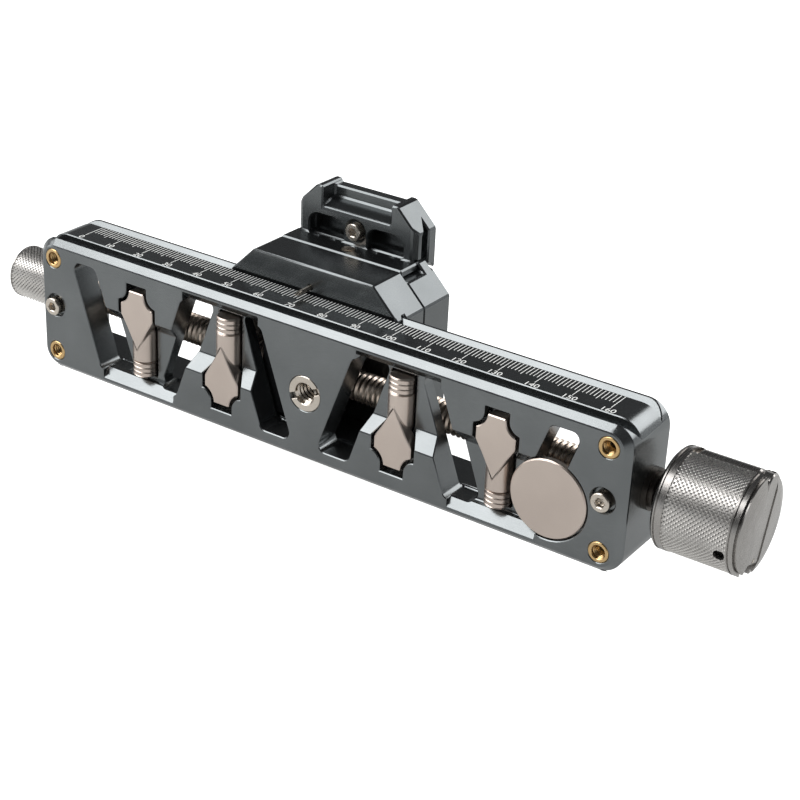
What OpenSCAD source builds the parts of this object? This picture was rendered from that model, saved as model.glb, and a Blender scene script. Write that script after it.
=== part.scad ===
// Macro focusing rail for close-up photography, with a clamp carriage on a lead screw

/* [Rail] */
// Length of the rail along the lead screw
rail_length = 180; // [176:1:200]
// Width of the rail over both dovetail lips
rail_width = 38; // [37.8:0.1:38.6]
// Depth of the rail from front face to rear face
rail_depth = 19; // [18.9:0.1:19.6]
// Radius of the four rail corners
rail_corner = 6; // [4.5:0.5:7]
// Chamfer around the front face
front_chamfer = 1.8; // [1.5:0.1:2]
// Depth of the front groove behind each lip
front_groove = 3.5; // [3.2:0.1:3.6]
// Distance of the rear groove from the front face
rear_groove_y = 15.3; // [15.2:0.1:15.5]
// Depth of the rear groove
rear_groove = 3.2; // [3:0.1:3.3]
// Thickness of the end walls
end_wall = 7.5; // [7.4:0.1:8.5]
// Thickness of the trussed front plate
front_plate = 7.5; // [7.4:0.1:7.7]
// Wall from the cavity to each rail edge
side_wall = 5.2; // [5.1:0.1:5.4]
// Distance of the lead screw axis from the front face
screw_y = 12.4; // [12.3:0.1:12.6]

/* [Windows] */
// Distance of the outer window from the rail end
truss_edge = 17.1; // [16.7:0.1:17.5]
// Reach of the truss from the rail centre that the places below are given for
truss_reach = 72.9; // [72.5:0.1:73.3]
// Position of the outer edge of the outer window at mid width
window_a = 72.9; // [72.5:0.1:73.3]
// Position of the inner edge of the outer window at mid width
window_b = 64.3; // [64:0.1:64.6]
// Position of the outer edge of the middle window at mid width
window_c = 45; // [44.8:0.1:45.3]
// Position of the inner edge of the middle window at mid width
window_d = 36.9; // [36.6:0.1:37.1]
// Position of the outer edge of the inner window at mid width
window_e = 18.4; // [18.2:0.1:18.8]
// Position of the inner edge of the inner window at mid width
window_f = 9; // [8.8:0.1:9.2]
// Distance of the rounded window ends from the middle plane
window_half = 14.4; // [14.2:0.1:14.6]
// Radius of the window corners
window_round = 2; // [1.6:0.1:2.2]
// Depth of the step in each member below the screws
step_depth = 3.9; // [3.8:0.1:4.1]
// Distance of the step foot from the middle plane
step_foot = 0.8; // [0.7:0.1:1]
// Distance of the step wall from the middle plane
step_wall = 14; // [13.9:0.1:14.1]
// Width of the chamfer at the step wall
step_chamfer = 2.65; // [2.4:0.05:2.8]
// Outer end of the outer step
step_a = 67.5; // [67.2:0.1:67.8]
// Inner end of the outer step
step_b = 43; // [42.8:0.1:43.3]
// Outer end of the inner step
step_c = 39.5; // [39.2:0.1:39.8]
// Inner end of the inner step
step_d = 15; // [14.8:0.1:15.3]

/* [Front hardware] */
// Distance of the corner inserts from the rail end
insert_edge = 5.6; // [5.3:0.1:5.9]
// Distance of the corner inserts from the middle plane
insert_z = 13.5; // [13.3:0.1:13.6]
// Radius of the corner inserts
insert_radius = 2.65; // [2.5:0.05:2.7]
// Radius of the insert bore
insert_bore = 1.75; // [1.6:0.05:1.8]
// Length of the corner inserts
insert_length = 4.2; // [3.8:0.1:4.3]
// Distance of the end screws from the rail end
end_screw_edge = 5.8; // [5.5:0.1:6]
// Radius of the end screw heads
end_head = 2.4; // [2.2:0.1:2.5]
// Height of the end screw heads above the front face
end_proud = 1.5; // [1.3:0.1:1.7]
// Radius of the counterbore round an end screw head
end_counterbore = 3.2; // [3:0.1:3.3]
// Depth of the counterbore
end_counterdepth = 1.5; // [1.4:0.1:1.7]
// Radius of the end screw shank
end_shank = 1.5; // [1.4:0.1:1.6]
// Width across the flats of the end screw sockets
end_socket = 2.2; // [2:0.1:2.4]
// Outer radius of the tripod bushing
bushing_radius = 4.75; // [4.6:0.05:4.8]
// Bore radius of the tripod bushing
bushing_bore = 2.9; // [2.8:0.05:3]
// Width of the slot in the tripod bushing
bushing_slot = 1.6; // [1.4:0.1:1.8]
// Depth of the slot in the tripod bushing
bushing_slot_depth = 1.2; // [1:0.1:1.4]
// Turn of the slot from the rail axis in degrees
bushing_slot_turn = 23; // [20:1:26]

/* [Stored tools] */
// Distance of the outer thumb screws from the rail centre
thumb_x_outer = 55.2; // [55:0.1:55.4]
// Distance of the inner thumb screws from the rail centre
thumb_x_inner = 26.7; // [26.5:0.1:26.9]
// Distance of the thumb screw axis from the front face
thumb_y = 3.45; // [3.4:0.05:3.5]
// Radius of the thumb screw thread
thumb_thread = 3.175; // [3.1:0.025:3.2]
// Radius of the thumb screw shank
thumb_shank = 3.35; // [3.3:0.05:3.4]
// Distance from the middle plane to the thread tip
thumb_tip = 12.5; // [12.3:0.1:12.7]
// Distance from the middle plane to the start of the thread
thumb_thread_start = 8.2; // [8:0.1:8.6]
// Half width of the paddle at its shoulders
paddle_half = 5.4; // [5.3:0.1:5.5]
// Half width of the paddle at its end
paddle_end_half = 2.5; // [2.4:0.1:2.6]
// Distance from the middle plane to the paddle end
paddle_end = 11.7; // [11.5:0.1:11.9]
// Radius of the hollow at each side of the paddle end
paddle_notch = 4.3; // [4.2:0.1:4.4]
// Distance from the middle plane to the inner shoulder of the paddle
paddle_inner = 4.5; // [4.4:0.1:4.7]
// Distance from the middle plane to the paddle's waist, where the shank is as wide
paddle_waist = 1.2; // [1:0.1:1.4]
// Distance past the middle plane to the tail of the flat
paddle_tail = 5; // [4.8:0.1:5.2]
// Gap around the paddles in their pockets
paddle_gap = 0.9; // [0.8:0.1:1]
// Thickness of the paddle
paddle_thickness = 3.4; // [3.2:0.1:3.5]
// Radius of the coin tool
coin_radius = 10.1; // [10:0.1:10.3]
// Thickness of the coin tool
coin_thickness = 2; // [1.8:0.1:2.1]
// Distance of the coin centre from the rail end
coin_edge = 19.8; // [19.6:0.1:20]
// Distance of the coin centre below the middle plane
coin_drop = 4.76; // [4.6:0.02:4.8]
// Distance of the coin magnet from the rail end
magnet_edge = 13.8; // [13.6:0.1:14]
// Radius of the coin magnet
magnet_radius = 2.5; // [2.4:0.1:2.6]
// Length of the coin magnet
magnet_length = 2; // [1.8:0.1:2.2]
// Radius of the magnets under the paddles
paddle_magnet_radius = 1.5; // [1.4:0.1:1.6]

/* [Lead screw] */
// Radius of the lead screw thread
thread_radius = 4; // [3.9:0.05:4.05]
// Radius of the lead screw journals
journal_radius = 3; // [2.9:0.05:3.05]
// Outer radius of the bearing bushes
bush_radius = 4.6; // [4.5:0.05:4.6]
// Flange radius of the right bearing bush
flange_radius = 5.2; // [5.1:0.1:5.4]
// Thickness of the bush flanges
flange_width = 1.3; // [1.2:0.1:1.4]
// Radius of the ring on the right bearing bush
ring_radius = 4.4; // [4.3:0.05:4.5]
// Width of the ring on the right bearing bush
ring_width = 1.1; // [1:0.1:1.2]
// Radius of the thrust collar at the bush
collar_radius = 4.6; // [4.5:0.1:4.7]
// Radius of the thrust collar at the drive knob
collar_root = 6.2; // [6:0.1:6.4]
// Length of the thrust collar
collar_length = 3.2; // [3.1:0.1:3.4]

/* [Drive knob] */
// Radius of the drive knob over the knurl
knob_radius = 12.4; // [12.3:0.1:12.6]
// Length of the drive knob
knob_length = 22; // [21.8:0.1:22.4]
// Width of each plain ring groove
knob_line = 0.4; // [0.35:0.05:0.45]
// Depth of each plain ring groove
knob_line_depth = 0.35; // [0.3:0.05:0.4]
// Distance of the first ring groove from the inner face
knob_line_a = 1; // [0.9:0.1:1.2]
// Distance of the second ring groove from the end face
knob_line_b = 2.5; // [2.4:0.1:2.6]
// Distance of the third ring groove from the end face
knob_line_c = 1.1; // [1.05:0.05:1.2]
// Radius of the flat end face of the drive knob
knob_face = 8.7; // [8.6:0.1:9]
// Width of the bevel round the end face
knob_bevel = 0.8; // [0.7:0.05:0.85]
// Radius of the rim at the bevel
knob_rim = 11.7; // [11.6:0.1:11.9]
// Radius of the fillet replaced by a bevel at the inner face
knob_inner_bevel = 0.7; // [0.6:0.1:0.8]
// Distance of the set screw from the end face
set_screw_in = 4.9; // [4.8:0.05:5]
// Radius of the set screw hole
set_screw_hole = 1.4; // [1.35:0.05:1.45]
// Angle of the set screw round the knob in degrees
set_screw_angle = -162; // [-165:1:-158]

/* [Crank] */
// Angle of the folded crank grip round the knob in degrees
crank_angle = 72; // [70:1:74]
// Distance of the crank hinge from the knob axis
hinge_offset = 8.2; // [8.1:0.1:8.3]
// Depth of the crank hinge below the end face
hinge_in = 1.5; // [1.5:0.05:1.6]
// Radius of the crank hinge pin
hinge_pin_radius = 0.8; // [0.75:0.05:0.8]
// Half length of the crank hinge pin
hinge_pin_half = 5.8; // [5.6:0.1:5.9]
// Half thickness of the crank arm
arm_half = 1.3; // [1.25:0.05:1.3]
// Half width of the crank arm
arm_width_half = 2.6; // [2.5:0.1:2.7]
// Distance of the grip axis from the knob axis
grip_offset = 9.6; // [9.5:0.1:9.7]
// Radius of the crank grip
grip_radius = 2.8; // [2.7:0.1:2.8]
// Length of the crank grip
grip_length = 15; // [14.8:0.1:15.2]
// Radius of the grip axle
axle_radius = 1.1; // [1:0.05:1.2]
// Radius of the head of the grip axle
axle_head = 1.8; // [1.7:0.1:1.9]
// Thickness of the head of the grip axle
axle_head_thickness = 0.8; // [0.7:0.1:0.9]
// Radius of the dowel that locks the hinge pin
dowel_radius = 0.45; // [0.4:0.05:0.5]

/* [Rear knob] */
// Radius of the rear knob
rear_knob_radius = 7.5; // [7.4:0.1:7.6]
// Length of the rear knob
rear_knob_length = 15.9; // [15.7:0.1:16.2]
// Bevel at both ends of the rear knob
rear_knob_bevel = 0.9; // [0.8:0.1:1]
// Thickness of the left bush flange
rear_flange = 1.1; // [1:0.1:1.2]
// Distance of its set screw from the inner face
rear_set_in = 3; // [2.9:0.1:3.2]

/* [Carriage] */
// Position of the carriage on the rail
carriage_x = -9.95; // [-10.2:0.05:-9.7]
// Half length of the carriage along the rail
block_half = 26.45; // [26.3:0.05:26.6]
// Half width of the carriage
block_top = 26.4; // [26.3:0.1:26.6]
// Corner chamfer of the carriage
block_chamfer = 7.8; // [7.6:0.1:7.9]
// Distance of the carriage front from the front face of the rail
saddle_front = 15.4; // [15.35:0.05:15.5]
// Distance of the seam between saddle and clamp body
seam_y = 27.2; // [27.1:0.1:27.4]
// Distance of the plate seat
seat_y = 39; // [38.9:0.1:39.2]
// Depth of the relief above the plate seat
seat_relief = 0.6; // [0.5:0.1:0.7]
// Distance of the pointer pin from the middle plane
pointer_z = 20.6; // [20.5:0.1:20.8]
// Offset of the pointer pin from the carriage centre
pointer_shift = 0.55; // [0.5:0.05:0.6]
// Radius of the pointer pin
pointer_radius = 0.6; // [0.55:0.05:0.65]
// Length of the pointer pin in front of the saddle
pointer_reach = 6.1; // [5.9:0.1:6.2]
// Length of the pointer cone
pointer_cone = 1.4; // [1.2:0.1:1.6]
// Half length of the travelling nut
nut_half = 9; // [8.8:0.1:9.4]
// Half width of the travelling nut
nut_width = 12.5; // [12.3:0.1:12.7]
// Distance of the nut screws from the lead screw axis
nut_screw_z = 8.2; // [8.1:0.1:8.4]
// Radius of the small cap screw shanks
cap_shank = 1.5; // [1.4:0.05:1.55]
// Radius of the small cap screw heads
cap_head = 2.6; // [2.5:0.05:2.65]
// Height of the small cap screw heads
cap_height = 2.8; // [2.7:0.1:3]
// Distance of the joining screws from the carriage centre
join_x = 19; // [18.8:0.1:19.2]
// Distance of the joining screws from the middle plane
join_z = 10; // [9.8:0.1:10.2]
// Length of the joining screws below the heads
join_length = 14; // [13.8:0.1:14.4]
// Half length of the gib strip
gib_half = 24; // [23.8:0.1:24.2]
// Distance between the gib screws
gib_pitch = 17; // [16.8:0.1:17.2]
// Radius of the gib screws
gib_screw = 1.5; // [1.45:0.05:1.55]

/* [Clamp jaw] */
// Half length of the jaw along the rail
jaw_half = 18.95; // [18.8:0.05:19]
// Position of the jaw centre from the carriage centre
jaw_shift = -0.2; // [-0.25:0.05:-0.15]
// Distance of the jaw front from the front face of the rail
jaw_front = 34; // [33.9:0.1:34.1]
// Depth of the front wall of the jaw
jaw_wall = 2.6; // [2.5:0.1:2.7]
// Distance of the rear lip of the jaw from the front face of the rail
jaw_lip = 39.5; // [39.4:0.1:39.6]
// Distance of the rear face of the jaws from the front face of the rail
jaw_rear = 43; // [42.8:0.1:43.2]
// Height of the jaw above the middle plane
jaw_top = 40; // [39.9:0.1:40.2]
// Chamfer at the upper jaw corners
jaw_corner = 6.2; // [6:0.1:6.4]
// Bevel at the front edges of the jaw
jaw_bevel = 1.6; // [1.5:0.1:1.7]
// Thickness of the jaw heel
heel_thickness = 2.1; // [2:0.05:2.1]
// Height of the slit front wall above the middle plane
slit_knee = 33; // [32.9:0.1:33.2]
// Seat of the plate lip above the middle plane
plate_lip = 24.5; // [24.45:0.05:24.6]
// Width of the camera plate
plate_width = 38; // [37.8:0.1:38.4]
// Depth of the straight part of the jaw lip
lip_straight = 1.6; // [1.5:0.1:1.7]
// Half width of the arched pockets
arch_half = 5.5; // [5.4:0.1:5.6]
// Distance of the arched pockets from the jaw centre
arch_x = 9.3; // [9.2:0.1:9.4]
// Height of the arched pockets above the middle plane
arch_top = 32.1; // [31.9:0.1:32.3]
// Radius of the arch corners
arch_round = 2.9; // [2.8:0.05:2.95]
// Height of the jaw screw above the middle plane
jaw_screw_z = 30.3; // [30.2:0.1:30.4]
// Height of the jaw screw head above the front of the jaw
jaw_screw_proud = 1.4; // [1.3:0.1:1.5]
// Radius of the jaw screw head
jaw_screw_head = 2.3; // [2.2:0.05:2.35]
// Radius of the jaw screw counterbore
jaw_screw_sink = 2.9; // [2.85:0.05:3]
// Half length of the notch on the jaw
notch_half = 10.7; // [10.5:0.1:10.9]
// Lower edge of the notch above the middle plane
notch_low = 34; // [33.9:0.1:34.1]
// Rise of the notch floor to its rear wall
notch_rise = 1.2; // [1.1:0.1:1.3]
// Width of the bevel at the notch
notch_bevel = 0.8; // [0.7:0.1:0.9]
// Drop of the rear strip behind the notch
strip_drop = 1; // [0.9:0.1:1.1]
// Half length of the ribs that guide the jaw
rib_half = 16.4; // [16.2:0.1:16.5]
// Height of the guide ribs above the middle plane
rib_top = 32.4; // [32.2:0.1:32.6]
// Distance of the draw rod from the front face of the rail
rod_y = 31.1; // [31:0.1:31.2]
// Radius of the draw rod
rod_radius = 2.5; // [2.4:0.05:2.55]
// Radius of the riveted end of the draw rod
rod_rivet = 1.8; // [1.7:0.05:1.9]
// Radius of the clamp knob
clamp_knob_radius = 7; // [6.9:0.1:7.1]
// Height of the clamp knob
clamp_knob_height = 5; // [4.9:0.1:5.1]
// Bevel of the clamp knob
clamp_knob_bevel = 0.6; // [0.5:0.1:0.7]
// Thickness of the washer under the clamp knob
washer_thickness = 0.6; // [0.5:0.05:0.65]

/* [Hidden] */
// Number of facets that stands for a true circle
round_fn = 64;
// Number of sides of a hexagon socket
hex_fn = 6;
// Gap between parts that move along each other
slide_gap = 0.3;
// Gap between fixed parts that fit in each other
seat_gap = 0.02;
// Gap round a turning shaft
run_gap = 0.04;
// Gap round tools that lift out
tool_gap = 0.4;
// Overrun of every cut past the face it opens
over = 0.5;
// Ratio of full angle to half turn
half_turn = 180;
quarter_turn = 90;
// Slopes of the window edges as a share of the height
slope_a_share = 0.33;
slope_b_share = 0.36;
slope_c_share = 0.357;
slope_d_share = 0.37;

half_length = rail_length / 2;
half_width = rail_width / 2;
cavity_x = half_length - end_wall;
cavity_z = half_width - side_wall;
truss_stretch = (half_length - truss_edge) / truss_reach;
insert_x = half_length - insert_edge;
end_screw_x = half_length - end_screw_edge;
coin_x = half_length - coin_edge;
magnet_x = half_length - magnet_edge;
outer_x = thumb_x_outer * truss_stretch;
inner_x = thumb_x_inner * truss_stretch;
front_groove_y = front_chamfer + front_groove;
rear_groove_end = rear_groove_y + rear_groove;
rear_groove_floor = half_width - rear_groove;
front_groove_floor = half_width - front_groove;
screw_shoulder = cavity_x - slide_gap;
bush_front = screw_y - bush_radius;
end_shank_end = bush_front - seat_gap;
coin_pocket_depth = coin_thickness + slide_gap / 2;
coin_pocket_radius = coin_radius + tool_gap;
magnet_top = coin_pocket_depth + seat_gap;
magnet_hole_end = magnet_top + magnet_length + seat_gap;
paddle_magnet_z = (paddle_inner + paddle_end) / 2;
paddle_pocket_depth = paddle_thickness + slide_gap;

right_flange_end = half_length + flange_width;
right_ring_end = right_flange_end + ring_width;
collar_start = right_ring_end + slide_gap;
knob_start = collar_start + collar_length;
knob_end = knob_start + knob_length;
crank_hinge_x = knob_end - hinge_in;
arm_top = crank_hinge_x + arm_half;
arm_bottom = crank_hinge_x - arm_half;
crank_floor = arm_bottom - slide_gap;
crank_slot_half = arm_width_half + slide_gap;
grip_top = arm_bottom - slide_gap;
grip_bottom = grip_top - grip_length;
grip_head_x = grip_bottom - slide_gap - axle_head_thickness;
grip_slot_end = grip_head_x - slide_gap;
grip_slot_radius = grip_radius + slide_gap;
grip_slot_reach = knob_radius + over;
screw_right_end = crank_floor - slide_gap;
set_screw_x = knob_end - set_screw_in;

left_flange_end = half_length + rear_flange;
rear_knob_start = left_flange_end + slide_gap;
rear_knob_end = rear_knob_start + rear_knob_length;
screw_left_end = rear_knob_end - rear_knob_bevel - slide_gap;
rear_set_x = rear_knob_start + rear_set_in;

block_shoulder = block_top - block_chamfer;
block_flat = block_half - block_chamfer;
web_y = rail_depth + slide_gap;
inner_z = half_width + slide_gap;
finger_front = rear_groove_y + slide_gap;
finger_tip = rear_groove_floor + slide_gap * sqrt(2) + slide_gap;
finger_back = finger_front + inner_z - finger_tip;
gib_outer = (inner_z + block_top) / 2 - half_width / 16;
gib_back = finger_back + slide_gap;
gib_slot_outer = gib_outer + seat_gap;
gib_slot_back = gib_back + seat_gap;
gib_slot_half = gib_half + slide_gap;
nut_front = front_plate + slide_gap;
nut_bore = thread_radius + run_gap;
nut_screw_tip = screw_y + slide_gap;
nut_head_y = seam_y - slide_gap;
nut_head_under = nut_head_y - cap_height;
nut_sink_y = nut_head_under - seat_gap;
join_head_y = seat_y - slide_gap;
join_head_under = join_head_y - cap_height;
join_sink_y = join_head_under - seat_gap;
join_tip = join_head_under - join_length;

jaw_x = carriage_x + jaw_shift;
heel_top = block_top;
heel_bottom = heel_top - heel_thickness;
channel_floor = heel_bottom - slide_gap;
heel_front = seam_y + slide_gap;
heel_back = jaw_front + jaw_bevel / 2;
channel_back = heel_back + slide_gap;
channel_half = jaw_half + slide_gap;
jaw_wall_y = jaw_front + jaw_wall;
wall_bottom = block_top + slide_gap;
slit_apex = slit_knee + jaw_lip - jaw_wall_y;
lip_knee = jaw_lip + lip_straight;
lip_tip = plate_lip - (jaw_rear - lip_knee);
fixed_lip_z = plate_lip - plate_width;
fixed_lip_tip = fixed_lip_z + (jaw_rear - lip_knee);
fixed_lip_low = fixed_lip_z - heel_thickness * 2;
rib_front = jaw_wall_y + slide_gap;
rib_back = jaw_lip - slide_gap;
rib_gap_half = arch_x + arch_half;
notch_shelf = notch_low + notch_bevel;
notch_end = notch_shelf + notch_rise;
strip_top = jaw_top - strip_drop;
jaw_screw_head_y = jaw_front - jaw_screw_proud;
jaw_screw_under = jaw_screw_head_y + cap_height - slide_gap;
jaw_screw_tip = jaw_rear - jaw_wall / 2;
rod_bore = rod_radius + slide_gap;
washer_bottom = block_top + washer_thickness;
clamp_knob_top = washer_bottom + run_gap;
clamp_knob_end = clamp_knob_top + clamp_knob_height;
rod_end = clamp_knob_end - slide_gap;

// Helpers that lay a flat outline along one axis

module along_x(a, b) {
    translate([a, 0, 0])
        rotate([quarter_turn, 0, quarter_turn])
            linear_extrude(b - a)
                children();
}

module along_y(a, b) {
    translate([0, b, 0])
        rotate([quarter_turn, 0, 0])
            linear_extrude(b - a)
                children();
}

module along_z(a, b) {
    translate([0, 0, a])
        linear_extrude(b - a)
            children();
}

module rod_x(a, b, r) {
    along_x(a, b)
        circle(r = r, $fn = round_fn);
}

module rod_y(a, b, r) {
    along_y(a, b)
        circle(r = r, $fn = round_fn);
}

module rod_z(a, b, r) {
    along_z(a, b)
        circle(r = r, $fn = round_fn);
}

// Outline given as radius and distance, turned about the X axis
module turned_x(outline) {
    rotate([0, quarter_turn, 0])
        rotate_extrude($fn = round_fn)
            polygon(outline);
}

// Outline given as radius and distance, turned about the Y axis
module turned_y(outline) {
    rotate([-quarter_turn, 0, 0])
        rotate_extrude($fn = round_fn)
            polygon(outline);
}

// Outline given as radius and distance, turned about the Z axis
module turned_z(outline) {
    rotate_extrude($fn = round_fn)
        polygon(outline);
}

module box(low, high) {
    translate(low)
        cube(high - low);
}

module both_sides_x() {
    children();
    mirror([1, 0, 0])
        children();
}

module both_sides_z() {
    children();
    mirror([0, 0, 1])
        children();
}

function unit(v) = v / norm(v);

function before(outline, i) = outline[(i + len(outline) - 1) % len(outline)];

function after(outline, i) = outline[(i + 1) % len(outline)];

// Half of the angle at one corner of a convex outline
function half_angle(outline, i) =
    acos(unit(before(outline, i) - outline[i]) * unit(after(outline, i) - outline[i])) / 2;

function tangent_in(outline, i, r) =
    outline[i] + unit(before(outline, i) - outline[i]) * r / tan(half_angle(outline, i));

function tangent_out(outline, i, r) =
    outline[i] + unit(after(outline, i) - outline[i]) * r / tan(half_angle(outline, i));

function bisector(outline, i) =
    unit(unit(before(outline, i) - outline[i]) + unit(after(outline, i) - outline[i]));

function corner_centre(outline, i, r) =
    outline[i] + bisector(outline, i) * r / sin(half_angle(outline, i));

// Convex outline with every corner rounded to true arcs
module rounded(outline, r) {
    polygon([for (i = [0 : len(outline) - 1], k = [0, 1])
        k == 0 ? tangent_in(outline, i, r) : tangent_out(outline, i, r)]);
    for (i = [0 : len(outline) - 1])
        translate(corner_centre(outline, i, r))
            circle(r = r, $fn = round_fn);
}

// Rail

module rail_blank() {
    flat_x = half_length - rail_corner;
    flat_z = half_width - rail_corner;
    along_x(-flat_x, flat_x)
        polygon([[0, front_chamfer - half_width], [front_chamfer, -half_width],
            [rail_depth, -half_width], [rail_depth, half_width],
            [front_chamfer, half_width], [0, half_width - front_chamfer]]);
    along_z(-flat_z, flat_z)
        polygon([[front_chamfer - half_length, 0], [half_length - front_chamfer, 0],
            [half_length, front_chamfer], [half_length, rail_depth],
            [-half_length, rail_depth], [-half_length, front_chamfer]]);
    both_sides_x()
        both_sides_z()
            translate([flat_x, 0, flat_z])
                turned_y([[0, 0], [rail_corner - front_chamfer, 0],
                    [rail_corner, front_chamfer], [rail_corner, rail_depth],
                    [0, rail_depth]]);
}

// Grooves in front of and behind the scale land
module rail_grooves() {
    reach = half_length + over;
    both_sides_z()
        along_x(-reach, reach) {
            polygon([[front_chamfer - over, half_width + over],
                [front_groove_y, front_groove_floor],
                [front_groove_y, half_width + over]]);
            polygon([[rear_groove_y, half_width + over],
                [rear_groove_y, rear_groove_floor],
                [rear_groove_end + over, half_width + over]]);
        }
}

// Edge of a window at a given height
function edge(mid, slope_share, z) = mid + slope_share * z;

module outer_window() {
    low = -step_wall;
    high = window_half;
    rounded([[edge(-window_a * truss_stretch, -slope_a_share, low), low],
        [edge(-window_b * truss_stretch, -slope_b_share, low), low],
        [edge(-window_b * truss_stretch, -slope_b_share, high), high],
        [edge(-window_a * truss_stretch, -slope_a_share, high), high]], window_round);
}

module middle_window() {
    low = -window_half;
    high = step_wall;
    rounded([[edge(-window_c * truss_stretch, slope_c_share, low), low],
        [edge(-window_d * truss_stretch, slope_d_share, low), low],
        [edge(-window_d * truss_stretch, slope_d_share, high), high],
        [edge(-window_c * truss_stretch, slope_c_share, high), high]], window_round);
}

module inner_window() {
    low = -window_half;
    high = step_wall;
    rounded([[edge(-window_e * truss_stretch, -slope_a_share, low), low],
        [edge(-window_f * truss_stretch, -slope_b_share, low), low],
        [edge(-window_f * truss_stretch, -slope_b_share, high), high],
        [edge(-window_e * truss_stretch, -slope_a_share, high), high]], window_round);
}

// Step below one thumb screw, open to the front, with the wall at the low side
module step_cut(x_out, x_in) {
    along_x(-x_out, -x_in)
        polygon([[-over, -step_wall - step_chamfer - over],
            [step_chamfer, -step_wall],
            [step_depth, -step_wall],
            [step_depth, step_foot],
            [-over, step_foot + step_depth + over]]);
}

module paddle_outline(grow) {
    end = paddle_end + grow * 2;
    hip = paddle_half + grow;
    tip = paddle_end_half + grow;
    waist = thumb_shank + grow;
    notch = paddle_notch - grow;
    difference() {
        polygon([[0, -paddle_tail], [waist, paddle_waist],
            [hip, paddle_inner], [hip, paddle_end], [tip, paddle_end],
            [tip, end], [-tip, end], [-tip, paddle_end],
            [-hip, paddle_end], [-hip, paddle_inner], [-waist, paddle_waist]]);
        for (x = [-tip - notch, tip + notch])
            translate([x, paddle_end])
                circle(r = notch, $fn = round_fn);
    }
}

module thumb_cut() {
    low = -thumb_tip - tool_gap;
    translate([0, thumb_y, 0])
        rod_z(low, paddle_inner, thumb_shank + tool_gap);
    box([-thumb_shank - tool_gap, -over, low],
        [thumb_shank + tool_gap, thumb_y, paddle_inner]);
    along_y(-over, paddle_pocket_depth)
        paddle_outline(paddle_gap);
}

// The outer pair has the paddle up, the inner pair is turned over
module thumb_cuts() {
    for (x = [-outer_x, outer_x])
        translate([x, 0, 0])
            thumb_cut();
    for (x = [-inner_x, inner_x])
        translate([x, 0, 0])
            rotate([0, half_turn, 0])
                thumb_cut();
}

// Cuts of one half of the front plate, coordinates at the left side
module plate_cuts_left() {
    along_y(-over, front_plate + over) {
        outer_window();
        middle_window();
        inner_window();
    }
    step_cut(step_a * truss_stretch, step_b * truss_stretch);
    mirror([0, 0, 1])
        step_cut(step_c * truss_stretch, step_d * truss_stretch);
}

module end_screw_hole() {
    translate([end_screw_x, 0, 0]) {
        rod_y(-over, end_counterdepth, end_counterbore);
        rod_y(0, bush_front + over, end_shank + seat_gap);
    }
}

module insert_holes() {
    for (z = [-insert_z, insert_z])
        translate([insert_x, 0, z])
            rod_y(-over, insert_length + seat_gap, insert_radius + seat_gap);
}

module rail_frame() {
    color([0.13, 0.13, 0.14])
        difference() {
            rail_blank();
            rail_grooves();
            box([-cavity_x, front_plate, -cavity_z], [cavity_x, rail_depth + over, cavity_z]);
            thumb_cuts();
            both_sides_x() {
                plate_cuts_left();
                end_screw_hole();
                insert_holes();
            }
            rod_y(-over, front_plate + over, bushing_radius + seat_gap);
            translate([coin_x, 0, -coin_drop])
                rod_y(-over, coin_pocket_depth, coin_pocket_radius);
            translate([magnet_x, 0, -coin_drop])
                rod_y(0, magnet_hole_end, magnet_radius + seat_gap);
            both_sides_x() {
                translate([outer_x, 0, paddle_magnet_z])
                    paddle_magnet_hole();
                translate([inner_x, 0, -paddle_magnet_z])
                    paddle_magnet_hole();
            }
            translate([0, screw_y, 0])
                rod_x(-half_length - over, half_length + over, bush_radius + seat_gap);
        }
}

module paddle_magnet_hole() {
    rod_y(0, paddle_pocket_depth + seat_gap * 2 + magnet_length, paddle_magnet_radius + seat_gap);
}

module paddle_magnets() {
    start = paddle_pocket_depth + seat_gap;
    color([0.7, 0.7, 0.72])
        both_sides_x() {
            translate([outer_x, 0, paddle_magnet_z])
                rod_y(start, start + magnet_length, paddle_magnet_radius);
            translate([inner_x, 0, -paddle_magnet_z])
                rod_y(start, start + magnet_length, paddle_magnet_radius);
        }
}

module coin_magnet() {
    color([0.7, 0.7, 0.72])
        translate([magnet_x, 0, -coin_drop])
            rod_y(magnet_top, magnet_top + magnet_length, magnet_radius);
}

module corner_inserts() {
    color([0.85, 0.7, 0.4])
        both_sides_x()
            for (z = [-insert_z, insert_z])
                translate([insert_x, 0, z])
                    difference() {
                        rod_y(0, insert_length, insert_radius);
                        rod_y(-over, insert_length + over, insert_bore);
                    }
}

module end_screws() {
    color([0.75, 0.74, 0.72])
        both_sides_x()
            translate([end_screw_x, 0, 0])
                difference() {
                    union() {
                        rod_y(-end_proud, end_counterdepth - seat_gap, end_head);
                        rod_y(0, end_shank_end, end_shank);
                    }
                    along_y(-end_proud - over, 0)
                        circle(r = end_socket / sqrt(3), $fn = hex_fn);
                }
}

module tripod_bushing() {
    color([0.72, 0.72, 0.72])
        difference() {
            rod_y(0, front_plate - seat_gap, bushing_radius);
            rod_y(-over, front_plate + over, bushing_bore);
            rotate([0, -bushing_slot_turn, 0])
                box([-bushing_radius - over, -over, -bushing_slot / 2],
                    [bushing_radius + over, bushing_slot_depth, bushing_slot / 2]);
        }
}

module right_bush() {
    color([0.5, 0.45, 0.35])
        translate([0, screw_y, 0])
            turned_x([[journal_radius + run_gap, cavity_x], [bush_radius, cavity_x],
                [bush_radius, half_length + seat_gap], [flange_radius, half_length + seat_gap],
                [flange_radius, right_flange_end], [ring_radius, right_flange_end],
                [ring_radius, right_ring_end], [journal_radius + run_gap, right_ring_end]]);
}

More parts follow.
